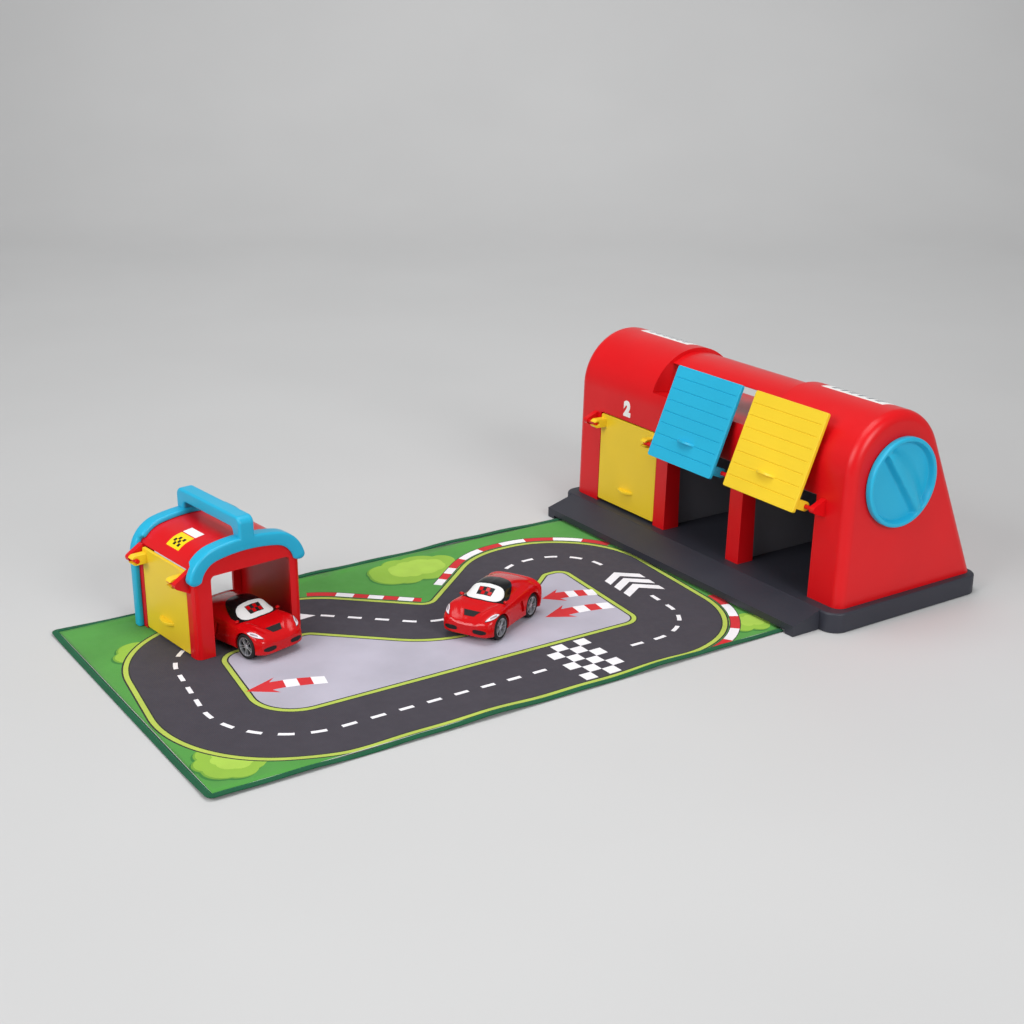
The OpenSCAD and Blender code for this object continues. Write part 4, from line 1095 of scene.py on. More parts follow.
def binding_route(w, y0, y1, tape):
    """Places along the middle of the tape, each with its direction inwards."""
    step, near, corner = 7, 14, 6

    def bend(side, angles):
        r = corner - tape / 2
        places = []
        for a in np.radians(angles):
            out = (side * math.cos(a), -math.sin(a))
            place = (side * (w - corner) + out[0] * r, y0 + corner + out[1] * r)
            places.append((place, (-out[0], -out[1])))
        return places

    route = [((-w + tape / 2, y), (1, 0)) for y in np.arange(y1, y0 + near, -step)]
    route += bend(-1, (0, 30, 60, 90))
    route += [((x, y0 + tape / 2), (0, 1)) for x in np.arange(-w + near, w - near + 1, step)]
    route += bend(1, (90, 60, 30, 0))
    route += [((w - tape / 2, y), (-1, 0)) for y in np.arange(y0 + near, y1 + 0.1, step)]
    return route


def build_binding():
    """A folded tape along the mat's three free edges, with a line of stitches."""
    tape = binding_high[0] - mat_high[0]
    route = binding_route(binding_high[0], binding_low[1] - BASE_FRONT, binding_high[1] - BASE_FRONT, tape)
    # Section of the folded tape: out to in across the edge, and its height
    section = [(-0.5, 0.35), (-0.5, 0.75), (-0.4, 0.95), (0.15, 1.0), (0.42, 0.92), (0.5, 0.62), (0.5, 0.1),
               (-0.4, 0.05)]
    height = binding_high[2]
    rings = []
    for (x, y), (ix, iy) in route:
        h = lift_at(x, y)
        rings.append([(x + a * tape * ix, y + a * tape * iy + BASE_FRONT, b * height + h + FLOOR_GAP)
                      for a, b in section])
    binding = soften(loft("mat_binding_tape", rings), 0)
    tape_cloth = fabric("binding tape", srgb(14, 84, 54), 0.14, 3400)
    finish_piece(binding, tape_cloth, "station", "binding_fabric", "mat_binding")
    stitches = []
    for i in range(len(route) - 1):
        (xa, ya), (ia, ja) = route[i]
        (xb, yb), (ib, jb) = route[i + 1]
        for t in (0.1, 0.6):
            ends = []
            for u in (t, t + 0.3):
                x = xa + (xb - xa) * u + (ia * (1 - u) + ib * u) * tape * 0.22
                y = ya + (yb - ya) * u + (ja * (1 - u) + jb * u) * tape * 0.22
                ends.append(np.array([x, y + BASE_FRONT, lift_at(x, y) + height + FLOOR_GAP]))
            along = ends[1] - ends[0]
            along /= np.linalg.norm(along)
            side = np.array([along[1], -along[0], 0]) * 0.28
            up = np.array([0, 0, 0.22])
            cross = (-side - up, -side * 0.6 + up * 0.7, side * 0.6 + up * 0.7, side - up)
            stitches.append(loft("stitch", [[e + c for c in cross] for e in ends]))
    thread = soften(gather("mat_binding_stitches", stitches), 0)
    finish_piece(thread, fabric("thread", srgb(30, 120, 78), 0.1, 6000), "station", "binding_fabric")
    return binding, thread


# Portable garage

GARAGE = shift(GARAGE_X, GARAGE_Y + BASE_FRONT, REST_Z) @ turn(GARAGE_TURN, "Z")
GARAGE_FLAT = GARAGE_DEPTH / 2 - GARAGE_SHOULDER_R
GARAGE_LUG_U = (GARAGE_DOOR_W / 2 + DOOR_GAP) + LUG_T / 2
GARAGE_HINGE_V = -GARAGE_DEPTH / 2 - GARAGE_HINGE_OUT


def arch_point(angle, grow):
    """A point of the garage's arch, by the angle of its normal: 180 faces the front and 0 the back."""
    crown_r = GARAGE_FLAT / math.sin(math.radians(GARAGE_CROWN))
    crown_z = -GARAGE_FLAT / math.tan(math.radians(GARAGE_CROWN))
    spring = GARAGE_H - crown_z - GARAGE_SHOULDER_R - crown_r
    r = GARAGE_SHOULDER_R + grow
    centre = (-GARAGE_FLAT, spring) if angle > 90 else (GARAGE_FLAT, spring)
    if abs(angle - 90) <= GARAGE_CROWN:
        r += crown_r
        centre = (0, spring + crown_z)
    a = math.radians(angle)
    return (centre[0] + r * math.cos(a), centre[1] + r * math.sin(a))


def arch_path(grow, steps=10):
    """The garage's arch from the front spring line over the roof to the back one."""
    high = 90 + GARAGE_CROWN
    low = 90 - GARAGE_CROWN
    angles = np.concatenate([np.linspace(180, high, steps + 1), np.linspace(high, low, steps + 1)[1:],
                             np.linspace(low, 0, steps + 1)[1:]])
    return [arch_point(a, grow) for a in angles]


def arch_outline(grow, foot):
    path = arch_path(grow)
    return [(path[0][0], foot)] + path + [(path[-1][0], foot)]


def build_garage_shell():
    shell = filleted("portable_shell_skin", lambda inset: arch_outline(-inset, 0), GARAGE_LEN / 2, 0,
                     GARAGE_FILLET)
    cavity = prism("cavity", arch_outline(-GARAGE_WALL, -1), "x", -GARAGE_LEN / 2 + GARAGE_WALL,
                   GARAGE_LEN / 2 - GARAGE_WALL)
    cut(shell, cavity)
    low = GARAGE_OPEN_SHIFT - GARAGE_OPEN_W / 2
    high = low + GARAGE_OPEN_W
    r = GARAGE_OPEN_R
    way = ([(low, -1), (high, -1)] + arc((high - r, GARAGE_OPEN_H - r), r, 0, 90, 5)
           + arc((low + r, GARAGE_OPEN_H - r), r, 90, 180, 5))
    cut(shell, prism("way", way, "x", -GARAGE_LEN / 2 - 1, GARAGE_LEN / 2 + 1))
    open_half = GARAGE_DOOR_W / 2 + DOOR_GAP
    open_top = GARAGE_DOOR_H + GARAGE_DOOR_LIFT + 2 * DOOR_GAP
    door_top = GARAGE_DOOR_H + GARAGE_DOOR_LIFT - GARAGE_HINGE_Z
    room_v = GARAGE_HINGE_V + math.hypot(GARAGE_HINGE_OUT + GARAGE_DOOR_T, door_top) + 2
    cut(shell, block("door way", (-open_half, -GARAGE_DEPTH, -1), (open_half, room_v, open_top)))
    posts = []
    lugs = []
    front = -GARAGE_DEPTH / 2
    face = front + GARAGE_WALL / 2
    for side in (-1, 1):
        low, high = sorted((side * (open_half + 0.01), side * (GARAGE_LEN / 2 - 1.5)))
        posts.append(block("post", (low, front + 1.5, 0), (high, front + 8.5, GARAGE_HINGE_Z)))
        x = side * GARAGE_LUG_U
        lug = hinge_lug(face, GARAGE_HINGE_V, GARAGE_HINGE_Z, GARAGE_LUG_UP, GARAGE_LUG_DOWN, x)
        low, high = sorted((x, x - side * (LUG_T / 2 + 12)))
        lugs.append(add(lug, rod("pin", PIN_R, (GARAGE_HINGE_V, GARAGE_HINGE_Z), low, high)))
    add(shell, *posts)
    add(shell, *lugs)
    soften(shell, 0.7, 2)
    move(shell, GARAGE)
    finish_piece(shell, red_plastic, "portable_garage", "red_plastic", "portable_shell")


def arch_trim(name, foot, tips):
    """A moulded band over one end of the arch, with a lip over the end's face and round or square tips."""
    arch = arch_path(0, 16)
    spring = arch[0][1]
    if foot < spring - 4:
        drop = [(arch[0][0], z) for z in np.linspace(foot, spring - 2, 4)]
        path = drop + arch + [(-v, z) for v, z in drop[::-1]]
    else:
        path = [p for p in arch if p[1] > foot]
    path = np.array(path)
    lengths = np.concatenate([[0], np.cumsum(np.linalg.norm(np.diff(path, axis=0), axis=1))])
    places = lengths
    if tips:
        near = TRIM_TIP * (1 - np.cos(np.radians(np.linspace(8, 90, 7))))
        inner = lengths[(lengths > TRIM_TIP + 0.5) & (lengths < lengths[-1] - TRIM_TIP - 0.5)]
        places = np.concatenate([near, inner, (lengths[-1] - near)[::-1]])
    path = np.column_stack([np.interp(places, lengths, path[:, i]) for i in range(2)])
    half = GARAGE_LEN / 2
    lip_u = half + TRIM_LIP + TRIM_SEAT
    wide = half - TRIM_W
    narrow = GARAGE_LUG_U + LUG_T / 2 + 0.3
    rings = []
    for i, p in enumerate(path):
        along = path[min(i + 1, len(path) - 1)] - path[max(i - 1, 0)]
        along /= np.linalg.norm(along)
        out = np.array([-along[1], along[0]])
        near_lug = p[0] < 0 and p[1] < GARAGE_HINGE_Z + 14
        edge = narrow if near_lug else wide
        section = [(edge, TRIM_SEAT), (edge, TRIM_T - 1.6), (edge + 1.6, TRIM_T), (lip_u - 2.4, TRIM_T),
                   (lip_u - 0.7, TRIM_T - 0.7), (lip_u, TRIM_T - 2.4), (lip_u, -TRIM_COVER + 1.4),
                   (lip_u - 1.2, -TRIM_COVER), (half + TRIM_SEAT, -TRIM_COVER), (half + TRIM_SEAT, TRIM_SEAT)]
        end = min(places[i], places[-1] - places[i]) / TRIM_TIP if tips else 1
        size = math.sqrt(max(0.03, 1 - (1 - min(end, 1)) ** 2))
        mid_u = (half + lip_u) / 2
        rings.append([(mid_u + (u - mid_u) * size, p[0] + out[0] * n * size, p[1] + out[1] * n * size)
                      for u, n in section])
    return soften(loft(name, rings), 0.7, 2, 60)


def build_garage_handle():
    near = arch_trim("portable_handle_skin", TRIM_END_Z, True)
    far = arch_trim("far trim", 0.3, False)
    move(far, Matrix.Scale(-1, 4, (1, 0, 0)))
    half = GARAGE_LEN / 2 + TRIM_LIP + TRIM_SEAT
    leg_in = half - GRAB_LEG
    foot = GARAGE_H + TRIM_SEAT
    under = GRAB_H - GRAB_T
    outer, inner = GRAB_OUTER_R, GRAB_INNER_R
    outline = ([(half, foot)] + arc((half - outer, GRAB_H - outer), outer, 0, 90, 8)
               + arc((-half + outer, GRAB_H - outer), outer, 90, 180, 8)
               + [(-half, foot), (-leg_in - 2, foot)]
               + arc((-leg_in + inner, under - inner), inner, 180, 90, 6)
               + arc((leg_in - inner, under - inner), inner, 90, 0, 6) + [(leg_in + 2, foot)])
    grab = soften(prism("grab", outline, "y", -GRAB_W / 2, GRAB_W / 2), 2.6, 4)
    add(near, far)
    add(near, grab)
    soften(near, 0)
    move(near, GARAGE)
    finish_piece(near, blue_plastic, "portable_garage", "blue_plastic", "portable_handle")


def build_garage_door():
    top = GARAGE_DOOR_H + GARAGE_DOOR_LIFT - GARAGE_HINGE_Z
    door = flip_door("portable_door_panel", GARAGE_DOOR_W, GARAGE_DOOR_H, GARAGE_DOOR_T, top,
                     GARAGE_HINGE_OUT, GARAGE_DOOR_H - top - GARAGE_LIP_RISE, GARAGE_LIP_DROP)
    move(door, GARAGE @ shift(0, GARAGE_HINGE_V, GARAGE_HINGE_Z))
    finish_piece(door, yellow_plastic, "portable_door", "yellow_plastic", "portable_door")


# Cars

# Sections of a car's body from tail to nose: place, underside, then half widths and heights up to the roof
CAR_SECTIONS = [
    (-48.0, 9, ((17, 12), (18, 20), (16.5, 24.5), (12, 26.5), (6, 27.4), (0, 27.6))),
    (-46.5, 6.5, ((22.5, 10), (23.5, 18.5), (22.3, 25.5), (16, 29), (8, 30), (0, 30.2))),
    (-38, 5, ((26.3, 9), (27.2, 17.5), (25.8, 26.8), (18.5, 31.4), (10, 33), (0, 33.4))),
    (-28, 5, ((27.3, 9), (27.5, 17.5), (26, 27.6), (19.3, 32.6), (11.4, 35.4), (0, 36))),
    (-16, 5, ((26.8, 9), (27, 17), (25.2, 27), (19.4, 32), (12.6, 37.4), (0, 38.5))),
    (-6, 5, ((26.2, 9), (26.4, 17), (24.8, 26.2), (19.2, 30.8), (13.4, 37.8), (0, 39.3))),
    (4, 5, ((26, 9), (26.2, 17), (24.8, 25.6), (19.2, 29.8), (13.4, 36.3), (0, 38))),
    (13, 5, ((26.2, 9), (26.4, 17), (25, 25.4), (19.6, 28.8), (12.8, 32), (0, 33))),
    (21, 5, ((27, 9), (27.2, 17), (25.8, 25.4), (20.6, 28.2), (12, 28.6), (0, 29))),
    (30, 5, ((27.4, 9), (27.5, 16.8), (26, 25), (20.8, 27.4), (11, 26.6), (0, 26.6))),
    (38, 5.5, ((26.2, 8.8), (26.4, 15.6), (24.8, 22.6), (19.2, 24.8), (10, 23.6), (0, 23.4))),
    (44, 5.8, ((24, 8.4), (24.2, 14), (22.6, 19.6), (17, 21.6), (9, 20.6), (0, 20.2))),
    (47.2, 6.4, ((20, 8.2), (20.2, 12.6), (18.8, 16.8), (14, 18.6), (7.5, 17.8), (0, 17.4))),
    (48.5, 7.4, ((15.5, 8.8), (15.7, 12), (14.4, 14.8), (10.5, 16), (5.5, 15.6), (0, 15.4))),
]
CAR_X = np.array([s[0] for s in CAR_SECTIONS])
CAR_RINGS = np.array([[(0, zb), (0.72 * up[0][0], zb), (0.95 * up[0][0], zb + 1.2)] + list(up)
                      for _, zb, up in CAR_SECTIONS])
# Index along a section of its widest points and of its top
WIDE_INDEX = 4
TOP_INDEX = 8


def smooth_steps(values, places, at):
    """Smooth curve through values at places, read at other places."""
    slopes = np.gradient(values, places, axis=0)
    i = np.clip(np.searchsorted(places, at) - 1, 0, len(places) - 2)
    span = places[i + 1] - places[i]
    t = (at - places[i]) / span
    shape = (-1,) + (1,) * (values.ndim - 1)
    t = t.reshape(shape)
    span = span.reshape(shape)
    h00 = 2 * t ** 3 - 3 * t ** 2 + 1
    h10 = t ** 3 - 2 * t ** 2 + t
    h01 = -2 * t ** 3 + 3 * t ** 2
    h11 = t ** 3 - t ** 2
    return (h00 * values[i] + h10 * span * slopes[i] + h01 * values[i + 1] + h11 * span * slopes[i + 1])


def car_point(x, index):
    """A place on the car's right half: along the car, and up a section from its underside's middle."""
    x = np.atleast_1d(np.asarray(x, float))
    index = np.atleast_1d(np.asarray(index, float))
    rings = smooth_steps(CAR_RINGS, CAR_X, x)
    points = np.zeros((len(x), 3))
    points[:, 0] = x
    for k in range(len(x)):
        yz = smooth_steps(rings[k], np.arange(TOP_INDEX + 1.0), index[k:k + 1])[0]
        points[k, 1:] = yz
    points[:, 2] += hood_crease(x, TOP_INDEX - index)
    return points


def hood_crease(x, across):
    """Height of the two creases that run from the screen's foot in to the nose vent."""
    middle = 1.75 - 0.8 * (x - 20) / 19
    fade = np.clip((x - 18) / 6, 0, 1) * np.clip((42 - x) / 6, 0, 1)
    return 0.75 * fade * np.exp(-((across - middle) / 0.2) ** 2)


def car_surface(x, across):
    """A place on the car's skin: across runs from the top's middle, left negative, right positive."""
    across = np.asarray(across, float)
    points = car_point(x, TOP_INDEX - np.abs(across))
    points[:, 1] *= np.where(across < 0, 1, -1)
    return points


def car_patch(name, grid_x, grid_q, lift, sink):
    """A thin closed piece that lies on the car's skin, over a grid of places."""
    rows, cols = grid_x.shape
    x = grid_x.ravel()
    q = grid_q.ravel()
    step = 0.05
    base = car_surface(x, q)
    ahead = car_surface(x + step, q) - car_surface(x - step, q)
    over = car_surface(x, q + step) - car_surface(x, q - step)
    normal = np.cross(ahead, over)
    normal /= np.linalg.norm(normal, axis=1)[:, None]
    flip = np.sign(np.sum(normal * (base - np.array([0, 0, 14])) * np.array([0.4, 1, 1]), axis=1))
    normal *= flip[:, None]
    upper = base + normal * lift
    lower = base - normal * sink
    verts = np.vstack([upper, lower])
    count = rows * cols
    faces = []
    for i in range(rows - 1):
        for j in range(cols - 1):
            a = i * cols + j
            quad = (a, a + 1, a + cols + 1, a + cols)
            faces.append(quad)
            faces.append(tuple(v + count for v in quad[::-1]))
    rim = (list(range(cols)) + [i * cols + cols - 1 for i in range(1, rows)]
           + [(rows - 1) * cols + j for j in range(cols - 2, -1, -1)]
           + [i * cols for i in range(rows - 2, 0, -1)])
    for a, b in zip(rim, rim[1:] + rim[:1]):
        faces.append((a, b, b + count, a + count))
    return mesh_object(name, verts, faces)


def strip_patch(name, rows, cols, edges, lift=0.3, sink=0.6):
    """A patch between two edges: edges(t) gives both ends, as (x, q) pairs, for t from 0 to 1."""
    grid_x = np.zeros((rows, cols))
    grid_q = np.zeros((rows, cols))
    for i, t in enumerate(np.linspace(0, 1, rows)):
        (xa, qa), (xb, qb) = edges(t)
        u = np.linspace(0, 1, cols)
        grid_x[i] = xa + (xb - xa) * u
        grid_q[i] = qa + (qb - qa) * u
    return car_patch(name, grid_x, grid_q, lift, sink)


SCREEN_Q = 1.6
BELT_Q = 2.2


def screen_top(q):
    return 1.5 + 8 * (abs(q) / BELT_Q) ** 2.4


def screen_foot(q):
    return 20 - 4.5 * (abs(q) / BELT_Q) ** 2.6


def canopy_back(q):
    return -16 + 20 * (abs(q) / BELT_Q) ** 2


def canopy_edges(t):
    q = BELT_Q * (2 * t - 1)
    return (canopy_back(q), q), (screen_foot(q), q)


def screen_edges(t):
    q = SCREEN_Q * (2 * t - 1)
    corner = 3.4 * abs(2 * t - 1) ** 7
    return (screen_top(q) + 0.8 + corner, q), (screen_foot(q) - 0.7 - corner, q)


def badge_edges(x0, x1, q0, q1):
    def edges(t):
        q = q0 + (q1 - q0) * t
        return (x0, q), (x1, q)
    return edges


def lamp_edges(side, grow=0.0):
    """A leaf from beside the nose vent back and out to the wing."""
    def edges(t):
        x = 32 - grow + (12 + 2 * grow) * t
        q = 2.95 - 0.7 * t
        w = 0.3 + grow + 2.3 * math.sin(math.pi * t) ** 0.8
        return (x - 0.61 * w, side * (q - 0.09 * w)), (x + 0.61 * w, side * (q + 0.09 * w))
    return edges


def lamp_core_edges(side):
    """The reflector inside a lamp's lens."""
    lens = lamp_edges(side)

    def edges(t):
        low, high = (np.array(end) for end in lens(0.22 + 0.5 * t))
        return tuple(low + 0.28 * (high - low)), tuple(low + 0.72 * (high - low))
    return edges


def vent_edges(t):
    q = 2 * t - 1
    return (34.6, 0.8 * q), (41, 0.5 * q)


def nose_intake(side):
    """A dark inlet low on the nose, which wraps round its corner."""
    plan = [(48.5, y) for y in (8, 9, 11, 13)]
    plan += [tuple(car_point(x, WIDE_INDEX)[0, :2]) for x in (48.5, 48.1, 47.6, 47)]
    plan = np.array(plan)
    heights = (0.9, 1.6, 2, 2.1, 2.1, 2, 1.6, 0.9)
    rings = []
    for i, (place, h) in enumerate(zip(plan, heights)):
        along = plan[min(i + 1, len(plan) - 1)] - plan[max(i - 1, 0)]
        along /= np.linalg.norm(along)
        out = np.array([along[1], -along[0]])
        near, far = place - 0.8 * out, place + 0.2 * out
        corners = ((near, -h), (far, -h), (far, h), (near, h))
        rings.append([(p[0], side * p[1], INTAKE_Z + rise) for p, rise in corners])
    return loft("intake", rings)


def mirror_pod(side):
    """A door mirror: a small pod beside the screen's foot."""
    pod = lathe("mirror", [(0.01, -1.5), (0.9, -1.2), (1.45, -0.3), (1.3, 0.7), (0.01, 1.3)], 20)
    move(pod, Matrix.Scale(1.6, 4, (0, 1, 0)))
    x, y, z = MIRROR_PLACE
    return move(pod, shift(x, side * y, z) @ turn(90, "Y"))


def tail_lamp(side):
    x, y, z = TAIL_LAMP_PLACE
    return move(lathe("tail lamp", TAIL_LAMP, 28), shift(x, side * y, z) @ turn(-90, "Y"))


def badge_squares():
    """Checks on the screen's badge."""
    long, wide = BADGE_CELL
    squares = []
    for i in range(2):
        for j in range(4):
            if (i + j) % 2:
                x0, q0 = BADGE_START[0] + long * i, BADGE_START[1] + wide * j
                squares.append(strip_patch("square", 4, 4, badge_edges(x0, x0 + long, q0, q0 + wide), 0.92))
    return squares


def build_body(car):
    xs = np.concatenate([np.linspace(-48, -44, 6)[:-1], np.linspace(-44, 44, 62)[:-1],
                         np.linspace(44, 48.5, 9)])
    indices = np.concatenate([np.linspace(0, 5, 21)[:-1], np.linspace(5, TOP_INDEX, 31)])
    rings = []
    for x in xs:
        half = car_point(np.full(len(indices), x), indices)
        right = [(p[0], -p[1], p[2]) for p in half]
        left = [tuple(p) for p in half[::-1]][1:-1]
        rings.append(right + left)
    body = loft(car + "_body_skin", rings)
    wells = []
    for side in (-1, 1):
        low, high = sorted((side * WELL_IN, side * WELL_OUT))
        for x in (-WHEELBASE / 2, WHEELBASE / 2):
            circle = arc((x, TYRE_R), TYRE_R + 1.3, 0, 360 - 7.5, 47)
            wells.append(prism("well", circle, "y", low, high))
        low, high = sorted((side * SIDE_INTAKE_IN, side * WELL_OUT))
        wells.append(prism("side intake", SIDE_INTAKE, "y", low, high))
    cut(body, *wells)
    return soften(body, 0.35, 2, 40)


def wheel_rims(name):
    """A pair of rims: a thin ring, a hub and five slender forked spokes."""
    outer = CAR_TRACK / 2 - 0.4
    back = CAR_TRACK / 2 - TYRE_W + 1
    profile = [(RIM_R - 0.6, back), (RIM_R - 0.1, back), (RIM_R - 0.1, outer - 0.15), (RIM_R - 0.3, outer),
               (RIM_R - 0.65, outer - 0.05), (RIM_R - 0.75, outer - 0.6)]
    pieces = [lathe("rim", profile, 56)]
    hub = [(0.01, outer - 2.8), (1.9, outer - 2.8), (1.8, outer - 0.9), (1.2, outer - 0.5),
           (0.01, outer - 0.5)]
    pieces.append(lathe("hub", hub, 24))
    for k in range(5):
        for fork in (-1, 1):
            spoke = block("spoke", (-0.26, 1.2, outer - 2.2), (0.26, RIM_R - 0.6, outer - 0.7))
            lean = shift(fork * 0.35, 0, 0) @ turn(-fork * 7, "Z")
            pieces.append(move(soften(spoke, 0.15, 2), turn(72 * k, "Z") @ lean))
    return gather(name, pieces)


def wheel_tyre(name):
    """A grooved tyre with a dark disc behind the rim's spokes."""
    outer = CAR_TRACK / 2
    back = outer - TYRE_W
    r = TYRE_R
    profile = [(RIM_R, back + 0.3), (RIM_R + 1.2, back), (r - 1.1, back + 0.15), (r - 0.3, back + 0.8),
               (r, back + 1.7)]
    grooves = 3
    for g in range(grooves):
        y = back + TYRE_W * (g + 1) / (grooves + 1)
        profile += [(r, y - 0.45), (r - 0.5, y - 0.3), (r - 0.5, y + 0.3), (r, y + 0.45)]
    profile += [(r, outer - 1.7), (r - 0.3, outer - 0.8), (r - 1.1, outer - 0.15), (RIM_R + 1.2, outer),
                (RIM_R, outer - 0.3)]
    disc_back = outer - 3.6
    plate = [(1.6, disc_back), (RIM_R - 0.8, disc_back), (RIM_R - 0.8, disc_back + 0.6),
             (1.6, disc_back + 0.6)]
    return gather(name, [lathe("tyre", profile, 64), lathe("plate", plate, 48)])


def paired(obj):
    """The wheel and its mirror image, set across the car on the axle's line."""
    other = linked("other", obj.data.copy())
    move(obj, turn(-90, "X"))
    move(other, Matrix.Scale(-1, 4, (0, 1, 0)) @ turn(-90, "X"))
    name = obj.name
    obj.name = "first"
    return gather(name, [obj, other])


def build_car(car, x, y, heading):
    place = shift(x, y + BASE_FRONT, REST_Z) @ turn(heading, "Z")

    def done(obj, material, body, slot, *nodes):
        finish_piece(move(obj, place), material, body, slot, *(car + node for node in nodes))

    def trim(name, pieces, material, slot, *nodes):
        done(soften(gather(car + name, pieces), 0), material, car, slot, *nodes)

    def both(name, rows, cols, edges, lift):
        return [strip_patch(name, rows, cols, edges(side), lift) for side in (-1, 1)]

    done(build_body(car), car_paint, car, "car_red", "_body")
    canopy = strip_patch("canopy", 41, 27, canopy_edges, 0.35)
    trim("_canopy_skin", [canopy], black_gloss, "black_plastic", "_canopy")
    screen = strip_patch("screen", 33, 13, screen_edges, 0.75)
    trim("_windscreen_skin", [screen], white_plastic, "white_plastic", "_windscreen")
    badge = strip_patch("badge", 9, 9, badge_edges(*BADGE), 0.85)
    trim("_screen_badge", [badge], label_black, "black_plastic")
    trim("_badge_squares", badge_squares(), car_paint, "car_red")
    lenses = both("lamp", 19, 9, lamp_edges, 0.4)
    trim("_headlamp_lenses", lenses, lamp_plastic, "white_plastic", "_headlamps")
    surrounds = both("surround", 19, 9, lambda side: lamp_edges(side, 0.35), 0.22)
    trim("_lamp_surrounds", surrounds, black_matte, "black_plastic")
    cores = both("core", 13, 5, lamp_core_edges, 0.48)
    trim("_lamp_reflectors", cores, lamp_core_plastic, "silver_plastic")
    trim("_door_mirrors", [mirror_pod(side) for side in (-1, 1)], car_paint, "car_red")
    vents = [strip_patch("vent", 15, 9, vent_edges, 0.2)] + [nose_intake(side) for side in (-1, 1)]
    trim("_grille_insets", vents, black_matte, "black_plastic", "_grilles")
    trim("_tail_lamps", [tail_lamp(side) for side in (-1, 1)], lamp_red, "car_red")
    skirt = soften(prism(car + "_tail_skirt", TAIL_SKIRT, "x", -48.4, -46.6), 0.4, 2)
    done(skirt, black_matte, car, "black_plastic")
    for end, sign in (("_front", 1), ("_rear", -1)):
        axle = shift(sign * WHEELBASE / 2, 0, TYRE_R)
        tyres = move(paired(wheel_tyre(car + end + "_tyre_rings")), axle)
        done(soften(tyres, 0), rubber, car + end + "_wheels", "tyre", end + "_tyres")
        rims = move(paired(wheel_rims(car + end + "_spoked_rims")), axle)
        done(soften(rims, 0), silver_paint, car + end + "_wheels", "silver_plastic", end + "_rims")


# Labels

def roof_label(name, x0, x1, angles, lift):
    """A label that follows the station's roof, between two angles of its arch."""
    under = arc((ROOF_Y, ROOF_Z), ROOF_R - LABEL_SINK, *angles, 10)
    over = arc((ROOF_Y, ROOF_Z), ROOF_R + lift, *angles[::-1], 10)
    return at_base(soften(prism(name, under + over, "x", x0, x1), 0))


def build_roof_labels():
    for name, x0, x1 in ROOF_LABELS:
        label = roof_label(name, x0, x1, ROOF_LABEL_ARC, LABEL_LIFT)
        finish_piece(label, label_white, "station", "white_plastic")
        pitch = (x1 - x0 - 12) / ROOF_BARS
        starts = [x0 + 8 + pitch * i for i in range(ROOF_BARS)]
        bars = [roof_label("bar", start, start + pitch * 0.42, ROOF_BAR_ARC, MARK_LIFT) for start in starts]
        finish_piece(gather(name + "_bars", bars), label_grey, "station", "white_plastic")


def arch_label(name, u0, u1, angles, lift):
    """A label that follows the portable garage's roof, between two angles of its arch."""
    under = [arch_point(a, -LABEL_SINK) for a in np.linspace(*angles, 11)]
    over = [arch_point(a, lift) for a in np.linspace(*angles[::-1], 11)]
    return move(soften(prism(name, under + over, "x", u0, u1), 0), GARAGE)


def build_garage_label():
    label = arch_label("garage_label", *GARAGE_LABEL, GARAGE_LABEL_ARC, LABEL_LIFT)
    finish_piece(label, label_yellow, "portable_garage", "yellow_plastic")
    band = arch_label("garage_label_band", *GARAGE_LABEL, GARAGE_BAND_ARC, LABEL_LIFT)
    finish_piece(band, label_white, "portable_garage", "white_plastic")
    checks = []
    columns = np.linspace(-5, 9, 5)
    rows = np.linspace(127, 107, 4)
    for i in range(4):
        for j in range(3):
            if (i + j) % 2:
                checks.append(arch_label("check", *columns[i:i + 2], rows[j:j + 2], MARK_LIFT))
    finish_piece(gather("garage_label_checks", checks), label_black, "portable_garage", "black_plastic")


def digit(character, bay):
    """A white numeral on the front wall, above a door."""
    name = "bay_number_" + character
    curve = bpy.data.curves.new(name, "FONT")
    curve.body = character
    curve.align_x = "CENTER"
    curve.size = NUMERAL_H * MM / 0.7
    curve.extrude = NUMERAL_HALF_T * MM
    curve.offset = NUMERAL_SWELL * MM
    text = linked(name + " curve", curve)
    graph = bpy.context.evaluated_depsgraph_get()
    mesh = bpy.data.meshes.new_from_object(text.evaluated_get(graph))
    bpy.data.objects.remove(text)
    obj = linked(name, mesh)
    y = wall_y(FRONT_NORMAL, 0, NUMERAL_Z) + BASE_FRONT
    move(obj, shift(bay * DOOR_PITCH + NUMERAL_SHIFT, y, NUMERAL_Z) @ turn(90 - WALL_LEAN, "X"))
    finish_piece(obj, label_white, "station", "white_plastic")


# Frame pieces that keep their solids

KEPT = {
    "base_cover": slate_plastic, "bay_liner": liner_plastic, "winder_drum": white_plastic, "knob_pin": steel,
    "drum_bushes": white_plastic, "mat_clamp": slate_plastic, "guide_rod": steel, "shell_screws": steel,
    "cover_screws": steel, "handle_screws": steel, "mat_lead": fabric("mat lead", INKS["grass"]),
}


def dress_kept():
    for car in CARS:
        KEPT[car + "_chassis"] = black_matte
        for node in ("_screws", "_front_axle", "_rear_axle"):
            KEPT[car + node] = steel
    for node, material in KEPT.items():
        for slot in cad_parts[node].material_slots:
            slot.material = material


build_shell()
build_doors()
build_knob()
build_base()
build_ramp()
mat, mat_width, mat_length = build_mat()
binding, thread = build_binding()
build_garage_shell()
build_garage_handle()
build_garage_door()
for car_name, (car_x, car_y, car_heading) in CARS.items():
    build_car(car_name, car_x, car_y, car_heading)
build_roof_labels()
build_garage_label()
for numeral, numeral_bay in NUMERALS:
    digit(numeral, numeral_bay)
dress_kept()

# Each of the mat's soft pieces gets a mesh of its own; the real mat is drawn in through the ramp's slot as
# the winder turns
for soft in (mat, binding, thread):
    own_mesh(soft)


# Stage, light and camera

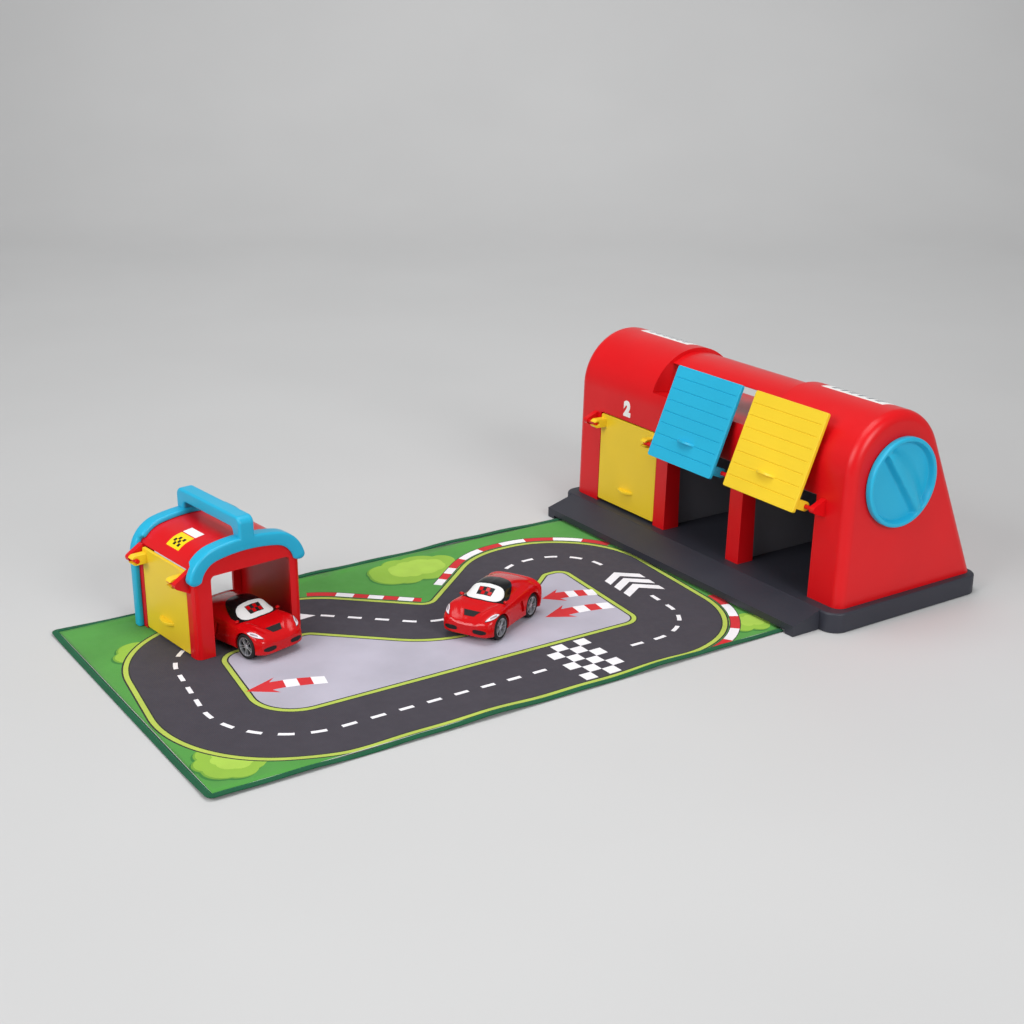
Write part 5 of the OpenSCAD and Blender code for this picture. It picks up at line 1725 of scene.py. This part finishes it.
def build_stage():
    """A pale floor that sweeps up into a backdrop behind the toy, square to the camera."""
    heading = math.radians(CAMERA_AZIMUTH)
    away = np.array([-math.sin(heading), math.cos(heading)])
    side = np.array([math.cos(heading), math.sin(heading)])
    bend_at, bend_r, wall_top, half = 1900, 1500, 4200, 6000
    profile = [(-3500, 0), (bend_at, 0)]
    profile += [(bend_at + bend_r * math.sin(a), bend_r * (1 - math.cos(a)))
                for a in np.radians(np.linspace(0, 90, 25)[1:])]
    profile.append((bend_at + bend_r, wall_top))
    verts = []
    for d, z in profile:
        for w in (-half, half):
            place = away * d + side * w
            verts.append((place[0], place[1], z - 0.3))
    faces = [(2 * i, 2 * i + 1, 2 * i + 3, 2 * i + 2) for i in range(len(profile) - 1)]
    floor = mesh_object("floor", verts, faces)
    floor.data.shade_smooth()
    material, nodes, links, shader = node_tree("pale floor")
    links.new(ramp(nodes, links, noise(nodes, links, 3, 2), grey(0.57), grey(0.59)),
              shader.inputs["Base Color"])
    shader.inputs["Roughness"].default_value = 0.55
    shader.inputs["Specular IOR Level"].default_value = 0.2
    floor.data.materials.append(material)


def area_light(name, location, target, size, power, spread):
    data = bpy.data.lights.new(name, "AREA")
    data.shape = "RECTANGLE"
    data.size, data.size_y = size
    data.energy = power
    data.spread = math.radians(spread)
    obj = linked(name, data)
    obj.location = location
    obj.rotation_euler = (Vector(target) - Vector(location)).to_track_quat("-Z", "Y").to_euler()


def build_light():
    world = bpy.data.worlds.new("studio")
    scene.world = world
    world.use_nodes = True
    background = world.node_tree.nodes["Background"]
    background.inputs["Color"].default_value = (0.94, 0.95, 0.96, 1)
    background.inputs["Strength"].default_value = 0.3
    for name, lamp in LAMPS.items():
        area_light(name, *lamp)


def build_camera():
    data = bpy.data.cameras.new("camera")
    data.sensor_width = 36
    data.lens = data.sensor_width * CAMERA_FOCAL_PX / CAMERA_IMAGE_PX
    data.clip_end = 50
    obj = linked("camera", data)
    x, y, z = CAMERA_PLACE
    obj.location = (x * MM, (y + BASE_FRONT) * MM, z * MM)
    obj.rotation_euler = (math.radians(90 - CAMERA_ELEVATION), 0, math.radians(CAMERA_AZIMUTH))
    scene.camera = obj


build_stage()
build_light()
build_camera()
